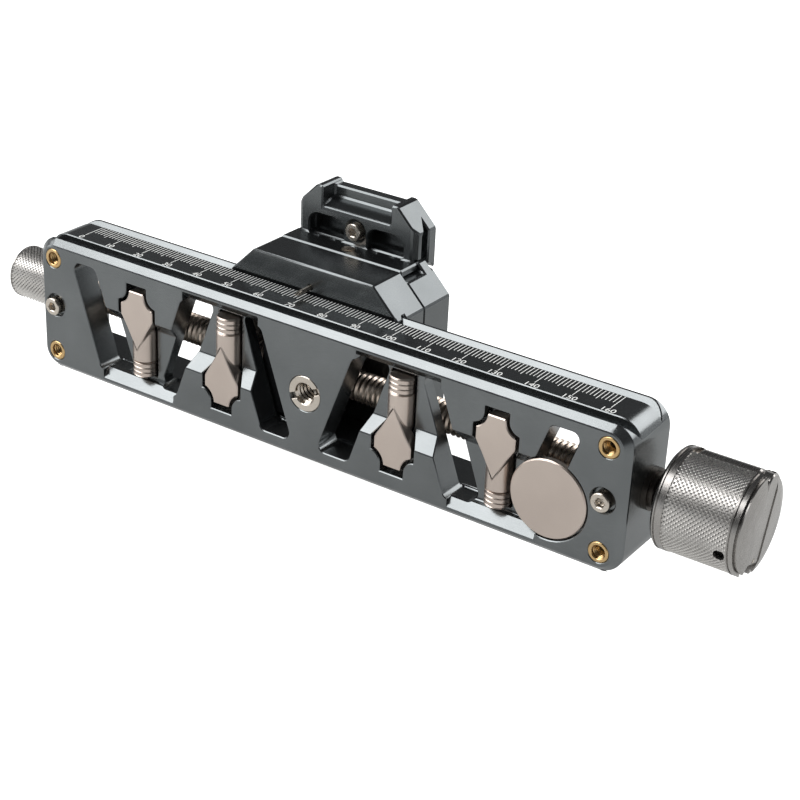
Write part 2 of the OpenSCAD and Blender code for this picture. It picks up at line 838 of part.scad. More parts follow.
module left_bush() {
    color([0.5, 0.45, 0.35])
        translate([0, screw_y, 0])
            turned_x([[journal_radius + run_gap, -cavity_x], [bush_radius, -cavity_x],
                [bush_radius, -half_length - seat_gap], [flange_radius, -half_length - seat_gap],
                [flange_radius, -left_flange_end], [journal_radius + run_gap, -left_flange_end]]);
}

// Stored tools

// Thumb screw with the paddle up and the thread down, at the rail centre
module thumb_screw() {
    neck = thumb_thread_start - paddle_inner;
    color([0.75, 0.7, 0.66]) {
        translate([0, thumb_y, 0]) {
            rod_z(-thumb_tip, -thumb_thread_start, thumb_thread);
            rod_z(-thumb_thread_start, 0, thumb_shank);
        }
        along_y(0, paddle_thickness)
            paddle_outline(0);
        translate([0, thumb_y, 0])
            turned_z([[0, 0], [thumb_shank, 0], [thumb_shank - neck / 4, neck],
                [0, neck]]);
    }
}

module thumb_screw_1() {
    translate([-outer_x, 0, 0])
        thumb_screw();
}

module thumb_screw_2() {
    translate([-inner_x, 0, 0])
        rotate([0, half_turn, 0])
            thumb_screw();
}

module thumb_screw_3() {
    translate([inner_x, 0, 0])
        rotate([0, half_turn, 0])
            thumb_screw();
}

module thumb_screw_4() {
    translate([outer_x, 0, 0])
        thumb_screw();
}

module coin_tool() {
    color([0.75, 0.7, 0.66])
        translate([coin_x, 0, -coin_drop])
            rod_y(0, coin_thickness, coin_radius);
}

// Drive

module lead_screw() {
    color([0.8, 0.74, 0.7])
        translate([0, screw_y, 0]) {
            rod_x(-screw_shoulder, screw_shoulder, thread_radius);
            rod_x(-screw_left_end, screw_right_end, journal_radius);
        }
}

module thrust_collar() {
    color([0.1, 0.1, 0.1])
        translate([0, screw_y, 0])
            turned_x([[journal_radius + seat_gap, collar_start], [collar_radius, collar_start],
                [collar_root, knob_start - seat_gap],
                [journal_radius + seat_gap, knob_start - seat_gap]]);
}

// Places a part that is drawn with the crank direction along Y at the knob
module at_crank() {
    translate([0, screw_y, 0])
        rotate([crank_angle, 0, 0])
            children();
}

module drive_knob() {
    line_a = knob_start + knob_line_a;
    line_b = knob_end - knob_line_b;
    line_c = knob_end - knob_line_c;
    groove_r = knob_radius - knob_line_depth;
    rim_start = knob_end - knob_bevel;
    color([0.78, 0.77, 0.75])
        difference() {
            translate([0, screw_y, 0])
                turned_x([[journal_radius + seat_gap, knob_start],
                    [knob_radius - knob_inner_bevel, knob_start],
                    [knob_radius, knob_start + knob_inner_bevel],
                    [knob_radius, line_a],
                    [groove_r, line_a], [groove_r, line_a + knob_line],
                    [knob_radius, line_a + knob_line],
                    [knob_radius, line_b - knob_line],
                    [groove_r, line_b - knob_line], [groove_r, line_b],
                    [knob_radius, line_b],
                    [knob_radius, line_c - knob_line],
                    [knob_rim - knob_line_depth, line_c - knob_line],
                    [knob_rim - knob_line_depth, line_c],
                    [knob_rim, line_c], [knob_rim, rim_start],
                    [knob_face, knob_end], [journal_radius + seat_gap, knob_end]]);
            at_crank() {
                box([crank_floor, -knob_radius - over, -crank_slot_half],
                    [knob_end + over, knob_radius + over, crank_slot_half]);
                translate([0, grip_offset, 0])
                    rod_x(grip_slot_end, knob_end, grip_slot_radius);
                box([grip_slot_end, grip_offset, -grip_slot_radius],
                    [knob_end, grip_slot_reach, grip_slot_radius]);
                translate([crank_hinge_x, -hinge_offset, 0])
                    rod_z(-hinge_pin_half - seat_gap, hinge_pin_half + seat_gap,
                        hinge_pin_radius + run_gap);
            }
            translate([set_screw_x, screw_y, 0])
                rotate([set_screw_angle, 0, 0])
                    rod_y(0, knob_radius + over, set_screw_hole);
        }
}

// Set screw drawn with its tip toward the shaft along Y
module set_screw(tip, back, r) {
    difference() {
        rod_y(tip, back, r);
        along_y((tip + back) / 2, back + over)
            circle(r = r / sqrt(3), $fn = hex_fn);
    }
}

module knob_set_screw() {
    color([0.15, 0.15, 0.15])
        translate([set_screw_x, screw_y, 0])
            rotate([set_screw_angle, 0, 0])
                set_screw(journal_radius + seat_gap, knob_rim - knob_bevel * 2,
                    set_screw_hole - seat_gap);
}

module rear_knob() {
    color([0.78, 0.77, 0.75])
        difference() {
            translate([0, screw_y, 0])
                turned_x([[0, -rear_knob_end],
                    [rear_knob_radius - rear_knob_bevel, -rear_knob_end],
                    [rear_knob_radius, rear_knob_bevel - rear_knob_end],
                    [rear_knob_radius, -rear_knob_start - rear_knob_bevel],
                    [rear_knob_radius - rear_knob_bevel, -rear_knob_start],
                    [0, -rear_knob_start]]);
            translate([0, screw_y, 0])
                rod_x(-screw_left_end - seat_gap, over - rear_knob_start,
                    journal_radius + seat_gap);
            translate([-rear_set_x, screw_y, 0])
                rotate([quarter_turn, 0, 0])
                    rod_y(0, rear_knob_radius + over, set_screw_hole);
        }
}

module rear_set_screw() {
    color([0.15, 0.15, 0.15])
        translate([-rear_set_x, screw_y, 0])
            rotate([quarter_turn, 0, 0])
                set_screw(journal_radius + seat_gap, rear_knob_radius - rear_knob_bevel,
                    set_screw_hole - seat_gap);
}

// Crank, folded into the drive knob

module crank_arm() {
    color([0.7, 0.69, 0.67])
        at_crank()
            difference() {
                union() {
                    box([arm_bottom, -hinge_offset, -arm_width_half],
                        [arm_top, grip_offset, arm_width_half]);
                    translate([crank_hinge_x, -hinge_offset, 0])
                        rod_z(-arm_width_half, arm_width_half, arm_half);
                    translate([0, grip_offset, 0])
                        rod_x(arm_bottom, arm_top, arm_width_half);
                }
                translate([crank_hinge_x, -hinge_offset, 0])
                    rod_z(-arm_width_half - over, arm_width_half + over,
                        hinge_pin_radius + seat_gap);
                translate([0, -hinge_offset, 0])
                    rod_x(crank_hinge_x, arm_top + over, dowel_radius + seat_gap);
                translate([0, grip_offset, 0])
                    rod_x(arm_bottom - over, arm_top - arm_half, axle_radius + seat_gap);
            }
}

module crank_hinge_pin() {
    color([0.8, 0.8, 0.8])
        at_crank()
            translate([crank_hinge_x, -hinge_offset, 0])
                rod_z(-hinge_pin_half, hinge_pin_half, hinge_pin_radius);
}

module crank_dowel() {
    color([0.95, 0.95, 0.95])
        at_crank()
            translate([0, -hinge_offset, 0])
                rod_x(crank_hinge_x + hinge_pin_radius + seat_gap, arm_top + seat_gap,
                    dowel_radius);
}

module grip_axle() {
    color([0.6, 0.6, 0.6])
        at_crank()
            translate([0, grip_offset, 0]) {
                rod_x(grip_head_x, arm_top - arm_half - seat_gap, axle_radius);
                rod_x(grip_head_x, grip_head_x + axle_head_thickness, axle_head);
            }
}

module crank_grip() {
    color([0.7, 0.69, 0.67])
        at_crank()
            translate([0, grip_offset, 0])
                turned_x([[axle_radius + run_gap, grip_bottom],
                    [grip_radius - slide_gap, grip_bottom],
                    [grip_radius, grip_bottom + slide_gap],
                    [grip_radius, grip_top - slide_gap],
                    [grip_radius - slide_gap, grip_top],
                    [axle_radius + run_gap, grip_top]]);
}

// Carriage

// Outline of the carriage in X and Z, at the rail centre
module block_outline() {
    polygon([[-block_half, -block_shoulder], [-block_flat, -block_top],
        [block_flat, -block_top], [block_half, -block_shoulder],
        [block_half, block_shoulder], [block_flat, block_top],
        [-block_flat, block_top], [-block_half, block_shoulder]]);
}

module cap_screw(under, tip, shank_r, head_r, head_h) {
    difference() {
        union() {
            rod_y(under, under + head_h, head_r);
            rod_y(tip, under + head_h / 2, shank_r);
        }
        along_y(under + head_h / 2, under + head_h + over)
            circle(r = head_r / 2, $fn = hex_fn);
    }
}

module nut_screw_places() {
    for (z = [-nut_screw_z, nut_screw_z])
        translate([carriage_x, 0, z])
            children();
}

module join_places() {
    for (x = [-join_x, join_x], z = [-join_z, join_z])
        translate([carriage_x + x, 0, z])
            children();
}

module gib_places() {
    for (x = [-gib_pitch, 0, gib_pitch])
        translate([carriage_x + x, (gib_back + finger_front) / 2, 0])
            children();
}

module carriage_saddle() {
    reach = block_half + over;
    color([0.14, 0.14, 0.15])
        difference() {
            translate([carriage_x, 0, 0])
                along_y(saddle_front, seam_y)
                    block_outline();
            along_x(carriage_x - reach, carriage_x + reach) {
                polygon([[saddle_front - over, -inner_z], [web_y, -inner_z],
                    [web_y, inner_z], [finger_back, inner_z],
                    [finger_front, finger_tip], [finger_front, inner_z],
                    [saddle_front - over, inner_z]]);
            }
            box([carriage_x - gib_slot_half, saddle_front - over, -gib_slot_outer],
                [carriage_x + gib_slot_half, gib_slot_back, -cavity_z]);
            gib_places()
                rod_z(-block_top - over, -gib_outer, gib_screw + seat_gap);
            nut_screw_places() {
                rod_y(web_y - over, seam_y, cap_shank + seat_gap);
                rod_y(nut_sink_y, seam_y + over, cap_head + slide_gap);
            }
            join_places()
                rod_y(join_tip - seat_gap, seam_y + over, cap_shank + seat_gap);
            translate([carriage_x - pointer_shift, 0, pointer_z])
                rod_y(saddle_front - over, web_y, pointer_radius + seat_gap);
        }
}

module travelling_nut() {
    color([0.8, 0.66, 0.4])
        difference() {
            box([carriage_x - nut_half, nut_front, -nut_width],
                [carriage_x + nut_half, web_y - seat_gap, nut_width]);
            translate([0, screw_y, 0])
                rod_x(carriage_x - nut_half - over, carriage_x + nut_half + over, nut_bore);
            nut_screw_places()
                rod_y(nut_screw_tip - seat_gap, web_y + over, cap_shank + seat_gap);
        }
}

module nut_screws() {
    color([0.6, 0.6, 0.6])
        nut_screw_places()
            cap_screw(nut_head_under, nut_screw_tip, cap_shank, cap_head, cap_height);
}

module gib_strip() {
    color([0.8, 0.66, 0.4])
        along_x(carriage_x - gib_half, carriage_x + gib_half)
            polygon([[finger_front, -finger_tip], [finger_front, -gib_outer],
                [gib_back, -gib_outer], [gib_back, finger_front - finger_tip - gib_back]]);
}

module gib_screws() {
    color([0.15, 0.15, 0.15])
        gib_places()
            difference() {
                rod_z(slide_gap - block_top, -gib_outer - seat_gap, gib_screw);
                along_z(-block_top - over, (-block_top - gib_outer) / 2)
                    circle(r = gib_screw / sqrt(3), $fn = hex_fn);
            }
}

module pointer_pin() {
    tip = saddle_front - pointer_reach;
    color([0.85, 0.84, 0.82])
        translate([carriage_x - pointer_shift, 0, pointer_z])
            turned_y([[0, tip], [pointer_radius / 4, tip], [pointer_radius, tip + pointer_cone],
                [pointer_radius, web_y - slide_gap], [0, web_y - slide_gap]]);
}

module clamp_body() {
    color([0.14, 0.14, 0.15])
        difference() {
            union() {
                difference() {
                    translate([carriage_x, 0, 0])
                        along_y(seam_y + seat_gap, seat_y)
                            block_outline();
                    box([carriage_x - block_half, seat_y - seat_relief, plate_lip - slide_gap],
                        [carriage_x + block_half, seat_y + over, block_top + over]);
                }
                along_x(carriage_x - block_flat, carriage_x + block_flat)
                    polygon([[seat_y - over, fixed_lip_low], [jaw_rear, fixed_lip_low],
                        [jaw_rear, fixed_lip_tip], [lip_knee, fixed_lip_z],
                        [seat_y - over, fixed_lip_z]]);
                box([jaw_x - rib_half, rib_front, block_top - over],
                    [jaw_x - rib_gap_half, rib_back, rib_top]);
                box([jaw_x + rib_gap_half, rib_front, block_top - over],
                    [jaw_x + rib_half, rib_back, rib_top]);
            }
            box([jaw_x - channel_half, seam_y - over, channel_floor],
                [jaw_x + block_half, channel_back, block_top + over]);
            translate([jaw_x, rod_y, 0])
                rod_z(-block_top - over, block_top, rod_bore);
            join_places() {
                rod_y(seam_y, seat_y, cap_shank + seat_gap);
                rod_y(join_sink_y, seat_y + over, cap_head + slide_gap);
            }
        }
}

module joining_screws() {
    color([0.6, 0.6, 0.6])
        join_places()
            cap_screw(join_head_under, join_tip, cap_shank, cap_head, cap_height);
}

module clamp_washer() {
    color([0.6, 0.6, 0.6])
        translate([jaw_x, rod_y, 0])
            turned_z([[rod_bore, -washer_bottom],
                [clamp_knob_radius - clamp_knob_bevel * 2, -washer_bottom],
                [clamp_knob_radius - clamp_knob_bevel * 2, -block_top - seat_gap],
                [rod_bore, -block_top - seat_gap]]);
}

// Jaw

module arch(x) {
    flat = arch_half - arch_round;
    spring = arch_top - arch_round;
    translate([x, 0]) {
        translate([-arch_half, heel_top])
            square([arch_half * 2, spring - heel_top]);
        translate([-flat, heel_top])
            square([flat * 2, arch_top - heel_top]);
        for (side = [-1, 1])
            translate([side * flat, spring])
                circle(r = arch_round, $fn = round_fn);
    }
}

module clamp_jaw() {
    half = jaw_half;
    flat = half - jaw_corner;
    color([0.14, 0.14, 0.15])
        translate([jaw_x, 0, 0])
            difference() {
                along_x(-half, half)
                    polygon([[heel_front, heel_bottom], [heel_back, heel_bottom],
                        [heel_back, wall_bottom], [jaw_wall_y, wall_bottom],
                        [jaw_wall_y, slit_knee], [jaw_lip, slit_apex],
                        [jaw_lip, plate_lip], [lip_knee, plate_lip],
                        [jaw_rear, lip_tip], [jaw_rear, jaw_top],
                        [jaw_front, jaw_top], [jaw_front, heel_top],
                        [heel_front, heel_top]]);
                both_sides_x()
                    along_y(seam_y, jaw_rear + over)
                        polygon([[flat, jaw_top + over], [flat, jaw_top],
                            [half, jaw_top - jaw_corner], [half + over, jaw_top - jaw_corner],
                            [half + over, jaw_top + over]]);
                both_sides_x()
                    along_z(heel_top, jaw_top + over)
                        polygon([[half - jaw_bevel, jaw_front - over],
                            [half - jaw_bevel, jaw_front],
                            [half, jaw_front + jaw_bevel], [half + over, jaw_front + jaw_bevel],
                            [half + over, jaw_front - over]]);
                along_x(-notch_half, notch_half)
                    polygon([[jaw_front - over, notch_low - over],
                        [jaw_front + notch_bevel, notch_shelf],
                        [jaw_lip, notch_end], [jaw_lip, strip_top],
                        [jaw_rear + over, strip_top], [jaw_rear + over, jaw_top + over],
                        [jaw_front - over, jaw_top + over]]);
                along_y(jaw_front - over, jaw_wall_y + over) {
                    arch(-arch_x);
                    arch(arch_x);
                }
                translate([0, 0, jaw_screw_z]) {
                    rod_y(jaw_front - over, jaw_screw_under - seat_gap, jaw_screw_sink);
                    rod_y(jaw_front, jaw_screw_tip + seat_gap, cap_shank + seat_gap);
                }
                translate([0, rod_y, 0])
                    rod_z(heel_bottom - over, heel_top + over, rod_rivet + seat_gap);
            }
}

module jaw_screw() {
    color([0.8, 0.78, 0.74])
        translate([jaw_x, 0, jaw_screw_z])
            difference() {
                union() {
                    rod_y(jaw_screw_head_y, jaw_screw_under - seat_gap * 2, jaw_screw_head);
                    rod_y(jaw_screw_head_y, jaw_screw_tip, cap_shank);
                }
                along_y(jaw_screw_head_y - over, jaw_screw_head_y + cap_height / 2)
                    circle(r = jaw_screw_head / 2, $fn = hex_fn);
            }
}

module draw_rod() {
    color([0.7, 0.7, 0.7])
        translate([jaw_x, rod_y, 0]) {
            rod_z(-rod_end, heel_bottom - seat_gap, rod_radius);
            rod_z(0, heel_top, rod_rivet);
        }
}

module clamp_knob() {
    color([0.78, 0.77, 0.75])
        translate([jaw_x, rod_y, 0])
            turned_z([[rod_radius + run_gap, -clamp_knob_end],
                [clamp_knob_radius - clamp_knob_bevel, -clamp_knob_end],
                [clamp_knob_radius, clamp_knob_bevel - clamp_knob_end],
                [clamp_knob_radius, -clamp_knob_top - clamp_knob_bevel],
                [clamp_knob_radius - clamp_knob_bevel, -clamp_knob_top],
                [rod_radius + run_gap, -clamp_knob_top]]);
}

rail_frame();
corner_inserts();
end_screws();
tripod_bushing();
coin_magnet();
paddle_magnets();
right_bush();
left_bush();
thumb_screw_1();
thumb_screw_2();
thumb_screw_3();
thumb_screw_4();
coin_tool();
lead_screw();
thrust_collar();
drive_knob();
knob_set_screw();
rear_knob();
rear_set_screw();
crank_arm();
crank_hinge_pin();
crank_dowel();
grip_axle();
crank_grip();
carriage_saddle();
travelling_nut();
nut_screws();
gib_strip();
gib_screws();
pointer_pin();
clamp_body();
joining_screws();
clamp_washer();
clamp_jaw();
jaw_screw();
draw_rod();
clamp_knob();
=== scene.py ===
"""Looks of a macro focusing rail: its knurls, threads, scale, finishes, light and camera."""
import logging
import math
from dataclasses import dataclass
from enum import Enum
from typing import Any

import bmesh
import bpy
from mathutils import Euler, Matrix, Vector


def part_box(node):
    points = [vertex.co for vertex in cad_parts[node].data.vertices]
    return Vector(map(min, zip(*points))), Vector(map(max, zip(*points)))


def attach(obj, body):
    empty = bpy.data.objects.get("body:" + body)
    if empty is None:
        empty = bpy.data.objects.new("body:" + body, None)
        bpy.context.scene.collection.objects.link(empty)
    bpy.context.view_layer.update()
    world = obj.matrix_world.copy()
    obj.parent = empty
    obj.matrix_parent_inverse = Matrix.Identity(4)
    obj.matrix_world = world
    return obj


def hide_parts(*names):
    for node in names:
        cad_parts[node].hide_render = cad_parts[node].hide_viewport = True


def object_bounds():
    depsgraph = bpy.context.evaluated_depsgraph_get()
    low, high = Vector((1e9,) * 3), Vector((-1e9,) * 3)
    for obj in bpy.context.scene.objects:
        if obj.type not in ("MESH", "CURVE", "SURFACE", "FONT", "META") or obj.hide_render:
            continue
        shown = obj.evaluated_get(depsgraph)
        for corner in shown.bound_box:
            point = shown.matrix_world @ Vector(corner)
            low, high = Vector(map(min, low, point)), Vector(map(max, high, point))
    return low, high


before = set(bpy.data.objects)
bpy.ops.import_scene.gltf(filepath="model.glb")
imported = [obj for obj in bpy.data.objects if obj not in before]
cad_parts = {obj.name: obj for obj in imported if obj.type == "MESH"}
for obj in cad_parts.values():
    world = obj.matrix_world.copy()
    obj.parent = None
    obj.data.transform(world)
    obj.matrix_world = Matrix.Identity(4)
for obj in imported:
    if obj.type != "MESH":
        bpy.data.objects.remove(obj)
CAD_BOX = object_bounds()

log = logging.getLogger("macro_rail")

MM = 0.001
FULL_TURN = 2.0 * math.pi
SHARP_ANGLE = math.radians(20.0)
BEVEL_ANGLE = math.radians(30.0)
FLAT_ANGLE = math.radians(0.3)
MERGE_GAP = 0.002 * MM
SENSOR_WIDTH = 36.0
# Every tenth line of the scale is long and numbered, and every fifth is of middle length
LONG_EVERY = 10
MIDDLE_EVERY = 5
# Share of a text's size that its digits fill in height
DIGIT_SHARE = 0.72
# Slack of a comparison between whole numbers
WHOLE_SLACK = 0.5
# Faces around the turned pieces
KNOB_SIDES = 96
SCREW_SIDES = 48


class Lay(Enum):
    """Direction of the fine lines that machining left on a surface."""

    GRAINED = "grained"
    ALONG_X = "along the rail"
    AROUND_X = "turned about the rail's axis"


# Scale of the grain along each axis: a small share draws it out into lines
LAY_STRETCH = {
    Lay.GRAINED: (1.0, 1.0, 1.0),
    Lay.ALONG_X: (0.04, 1.0, 1.0),
    Lay.AROUND_X: (1.0, 0.06, 0.06),
}


def linear(hex_colour: str) -> tuple[float, float, float, float]:
    """Turns an sRGB hex colour into linear red, green, blue and alpha.

    Args:
        hex_colour: six hex digits after a hash sign.

    Returns:
        The colour as Blender's sockets take it.
    """
    parts = [int(hex_colour[i : i + 2], 16) / 255.0 for i in (1, 3, 5)]
    curve = [p / 12.92 if p <= 0.04045 else ((p + 0.055) / 1.055) ** 2.4 for p in parts]
    return (curve[0], curve[1], curve[2], 1.0)


def add(tree: bpy.types.NodeTree, kind: str, sockets: dict[Any, Any] | None = None, **settings: Any) -> Any:
    """Adds one node to a tree with its settings, values and links.

    Args:
        tree: the node tree.
        kind: the node's type name.
        sockets: input name or number to a value, or to an output socket to link.
        settings: properties of the node itself.

    Returns:
        The new node.
    """
    made = tree.nodes.new(kind)
    for name, value in settings.items():
        setattr(made, name, value)
    for key, value in (sockets or {}).items():
        if isinstance(value, bpy.types.NodeSocket):
            tree.links.new(value, made.inputs[key])
        else:
            made.inputs[key].default_value = value
    return made


@dataclass(frozen=True)
class MetalFinish:
    """A metal surface: its colours, its gloss and the marks that making it left.

    Attributes:
        name: material name.
        slot: the record's material slot.
        light: colour of the raised grain.
        dark: colour between the grain.
        metallic: share of bare metal in the look.
        rough: lowest and highest roughness.
        grain_mm: size of the grain or line spacing.
        lay: direction of the lines.
        bump: height of the grain as a share of its size.
        specular: specular level.
        grain_detail: octaves of the grain.
        patch_mm: size of the broad patches.
        patch_detail: octaves of the patches.
        tone_span: noise values that give the dark and the light colour.
        grain_span: noise values that give the lowest and the highest roughness.
    """

    name: str
    slot: str
    light: str
    dark: str
    metallic: float
    rough: tuple[float, float]
    grain_mm: float
    lay: Lay
    bump: float
    specular: float = 0.5
    grain_detail: float = 3.0
    patch_mm: float = 50.0 / 3.0
    patch_detail: float = 2.0
    tone_span: tuple[float, float] = (0.1, 0.42)
    grain_span: tuple[float, float] = (0.3, 0.7)

    def build(self) -> bpy.types.Material:
        """Makes the material from fine grain and broad, faint unevenness."""
        material = bpy.data.materials.new(self.name)
        material.use_nodes = True
        tree = material.node_tree
        tree.nodes.clear()
        place = add(tree, "ShaderNodeTexCoord")
        where = place.outputs["Object"]
        scale = add(tree, "ShaderNodeMapping", {"Vector": where, "Scale": LAY_STRETCH[self.lay]})
        grain = self.noise(tree, scale.outputs[0], self.grain_mm, self.grain_detail)
        broad = self.noise(tree, where, self.patch_mm, self.patch_detail)
        share = add(tree, "ShaderNodeMath", {0: grain, 1: broad}, operation="MULTIPLY")
        dark_end, light_end = self.tone_span
        tone = add(
            tree,
            "ShaderNodeMapRange",
            {"Value": share.outputs[0], "From Min": dark_end, "From Max": light_end},
        )
        colour = add(
            tree,
            "ShaderNodeMix",
            {0: tone.outputs[0], 6: linear(self.dark), 7: linear(self.light)},
            data_type="RGBA",
        )
        fine_end, coarse_end = self.grain_span
        low, high = self.rough
        rough = add(
            tree,
            "ShaderNodeMapRange",
            {"Value": grain, "From Min": fine_end, "From Max": coarse_end, "To Min": low, "To Max": high},
        )
        height = add(
            tree,
            "ShaderNodeBump",
            {"Height": grain, "Strength": 1.0, "Distance": self.bump * self.grain_mm * MM},
        )
        shader = add(
            tree,
            "ShaderNodeBsdfPrincipled",
            {
                "Base Color": colour.outputs[2],
                "Roughness": rough.outputs[0],
                "Normal": height.outputs[0],
                "Metallic": self.metallic,
                "Specular IOR Level": self.specular,
            },
        )
        add(tree, "ShaderNodeOutputMaterial", {"Surface": shader.outputs[0]})
        return material

    @staticmethod
    def noise(tree: bpy.types.NodeTree, where: Any, size_mm: float, detail: float) -> Any:
        """Adds noise of one size and returns its value."""
        sockets = {"Vector": where, "Scale": 1.0 / (size_mm * MM), "Detail": detail}
        return add(tree, "ShaderNodeTexNoise", sockets).outputs["Fac"]


# Anodised aluminium, bead blasted before the bath: gunmetal with a soft sheen and a fine even grain
ANODISED = MetalFinish(
    name="anodised_aluminium_black",
    slot="black_anodised",
    light="#6c6f70",
    dark="#5e6162",
    metallic=0.95,
    rough=(0.2, 0.26),
    grain_mm=0.12,
    lay=Lay.GRAINED,
    bump=0.03,
)
# The same bath over a milled and brushed profile: faint lines run along the rail
ANODISED_RAIL = MetalFinish(
    name="anodised_aluminium_milled",
    slot="black_anodised",
    light="#7a7d7e",
    dark="#6b6e6f",
    metallic=0.95,
    rough=(0.19, 0.26),
    grain_mm=0.1,
    lay=Lay.ALONG_X,
    bump=0.05,
)
# Free-cutting brass, turned: yellow, bright, with fine tool lines
BRASS = MetalFinish(
    name="turned_brass",
    slot="brass",
    light="#dcbf90",
    dark="#bd9a66",
    metallic=1.0,
    rough=(0.22, 0.34),
    grain_mm=0.08,
    lay=Lay.GRAINED,
    bump=0.1,
)
# Stainless steel, turned and tumbled: warm white metal
STAINLESS = MetalFinish(
    name="turned_stainless",
    slot="stainless",
    light="#d9d1c6",
    dark="#bcb3a8",
    metallic=1.0,
    rough=(0.2, 0.3),
    grain_mm=0.08,
    lay=Lay.GRAINED,
    bump=0.06,
)
# Nickel plating over a sintered magnet
NICKEL = MetalFinish(
    name="nickel_plate",
    slot="nickel",
    light="#c9c9c9",
    dark="#b4b5b7",
    metallic=1.0,
    rough=(0.15, 0.25),
    grain_mm=0.1,
    lay=Lay.GRAINED,
    bump=0.04,
)
# Sintered bronze bush, oiled: dark and dull
BRONZE = MetalFinish(
    name="oiled_bronze",
    slot="dark_bush",
    light="#5d5852",
    dark="#45413d",
    metallic=1.0,
    rough=(0.3, 0.42),
    grain_mm=0.15,
    lay=Lay.AROUND_X,
    bump=0.1,
)
# Stainless steel, bead blasted: the warm grey satin of the stored tools
BLASTED = MetalFinish(
    name="blasted_stainless",
    slot="satin_steel",
    light="#d0c3b9",
    dark="#c2b5ac",
    metallic=1.0,
    rough=(0.3, 0.38),
    grain_mm=0.1,
    lay=Lay.GRAINED,
    bump=0.04,
)
# Carbon steel with a rolled thread: bright, warm and slightly oily
ROLLED = MetalFinish(
    name="rolled_steel",
    slot="screw_steel",
    light="#d8cabd",
    dark="#b9aa9c",
    metallic=1.0,
    rough=(0.24, 0.34),
    grain_mm=0.1,
    lay=Lay.AROUND_X,
    bump=0.05,
)
# Steel in black oxide
OXIDE = MetalFinish(
    name="black_oxide",
    slot="black_steel",
    light="#2c2c2e",
    dark="#1c1c1e",
    metallic=0.9,
    rough=(0.3, 0.42),
    grain_mm=0.15,
    lay=Lay.GRAINED,
    bump=0.06,
)
# Ground and oiled steel of the collar: dark, smooth, with fine rings
GROUND = MetalFinish(
    name="ground_steel",
    slot="black_steel",
    light="#8d8985",
    dark="#6f6b68",
    metallic=1.0,
    rough=(0.14, 0.22),
    grain_mm=0.12,
    lay=Lay.AROUND_X,
    bump=0.04,
)
# Aluminium, turned and clear anodised: silver rings with fine tool lines around the axis. It is painted
# darker than the knurled bands of the same metal, which is painted shade on the plain rings and ends
TURNED = MetalFinish(
    name="turned_aluminium_clear",
    slot="knob_aluminium",
    light="#aba8a5",
    dark="#999693",
    metallic=1.0,
    rough=(0.22, 0.3),
    grain_mm=0.12,
    lay=Lay.AROUND_X,
    bump=0.04,
)
# The same aluminium where the knurling wheel pressed it: duller between the points. Its colours are painted
# lighter than the turned rings, which is a painted highlight on the knurled bands
KNURLED_PAINTED_LIGHTER = MetalFinish(
    name="knurled_aluminium_painted_lighter",
    slot="knob_aluminium",
    light="#dad7d3",
    dark="#b9b6b3",
    metallic=1.0,
    rough=(0.24, 0.34),
    grain_mm=0.2,
    lay=Lay.GRAINED,
    bump=0.04,
)


@dataclass(frozen=True)
class EngravingPaint:
    """White enamel wiped into the engraving: bright, a little chalky and uneven."""

    name: str = "white_engraving_enamel"
    slot: str = "stainless"
    light: str = "#efefeb"
    dark: str = "#d2d2ce"
    mottle_mm: float = 0.5
    rough: float = 0.55

    def build(self) -> bpy.types.Material:
        """Makes the enamel with its faint mottling."""
        material = bpy.data.materials.new(self.name)
        material.use_nodes = True
        tree = material.node_tree
        tree.nodes.clear()
        place = add(tree, "ShaderNodeTexCoord")
        per_metre = 1.0 / (self.mottle_mm * MM)
        mottle = add(tree, "ShaderNodeTexNoise", {"Vector": place.outputs["Object"], "Scale": per_metre})
        colour = add(
            tree,
            "ShaderNodeMix",
            {0: mottle.outputs["Fac"], 6: linear(self.dark), 7: linear(self.light)},
            data_type="RGBA",
        )
        looks = {"Base Color": colour.outputs[2], "Roughness": self.rough}
        shader = add(tree, "ShaderNodeBsdfPrincipled", looks)
        add(tree, "ShaderNodeOutputMaterial", {"Surface": shader.outputs[0]})
        return material


Finish = MetalFinish | EngravingPaint
_built: dict[str, bpy.types.Material] = {}


def finish_material(finish: Finish) -> bpy.types.Material:
    """Returns the material of a finish, made once."""
    if finish.name not in _built:
        _built[finish.name] = finish.build()
    return _built[finish.name]


def dress(piece: bpy.types.Object, finish: Finish) -> None:
    """Gives a piece one material all over.

    Args:
        piece: a mesh object.
        finish: the finish to put on it.
    """
    piece.data.materials.clear()
    piece.data.materials.append(finish_material(finish))


def new_piece(name: str, mesh: bpy.types.Mesh) -> bpy.types.Object:
    """Puts a mesh into the scene as an object at the origin."""
    mesh.name = name
    piece = bpy.data.objects.new(name, mesh)
    bpy.context.scene.collection.objects.link(piece)
    return piece


def smooth(mesh: bpy.types.Mesh) -> None:
    """Shades a mesh smooth, but for edges sharper than the sharp angle."""
    mesh.polygons.foreach_set("use_smooth", [True] * len(mesh.polygons))
    mesh.set_sharp_from_angle(angle=SHARP_ANGLE)


def hold(piece: bpy.types.Object, body: str, finish: Finish, *nodes: str) -> bpy.types.Object:
    """Finishes a piece and hands it to the frame.

    Args:
        piece: the finished mesh object.
        body: the body that it moves with.
        finish: its finish.
        nodes: the solids that it stands for.

    Returns:
        The same piece.
    """
    dress(piece, finish)
    smooth(piece.data)
    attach(piece, body)
    if nodes:
        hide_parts(*nodes)
    log.info("%s rides on %s with %s", piece.name, body, finish.name)
    return piece


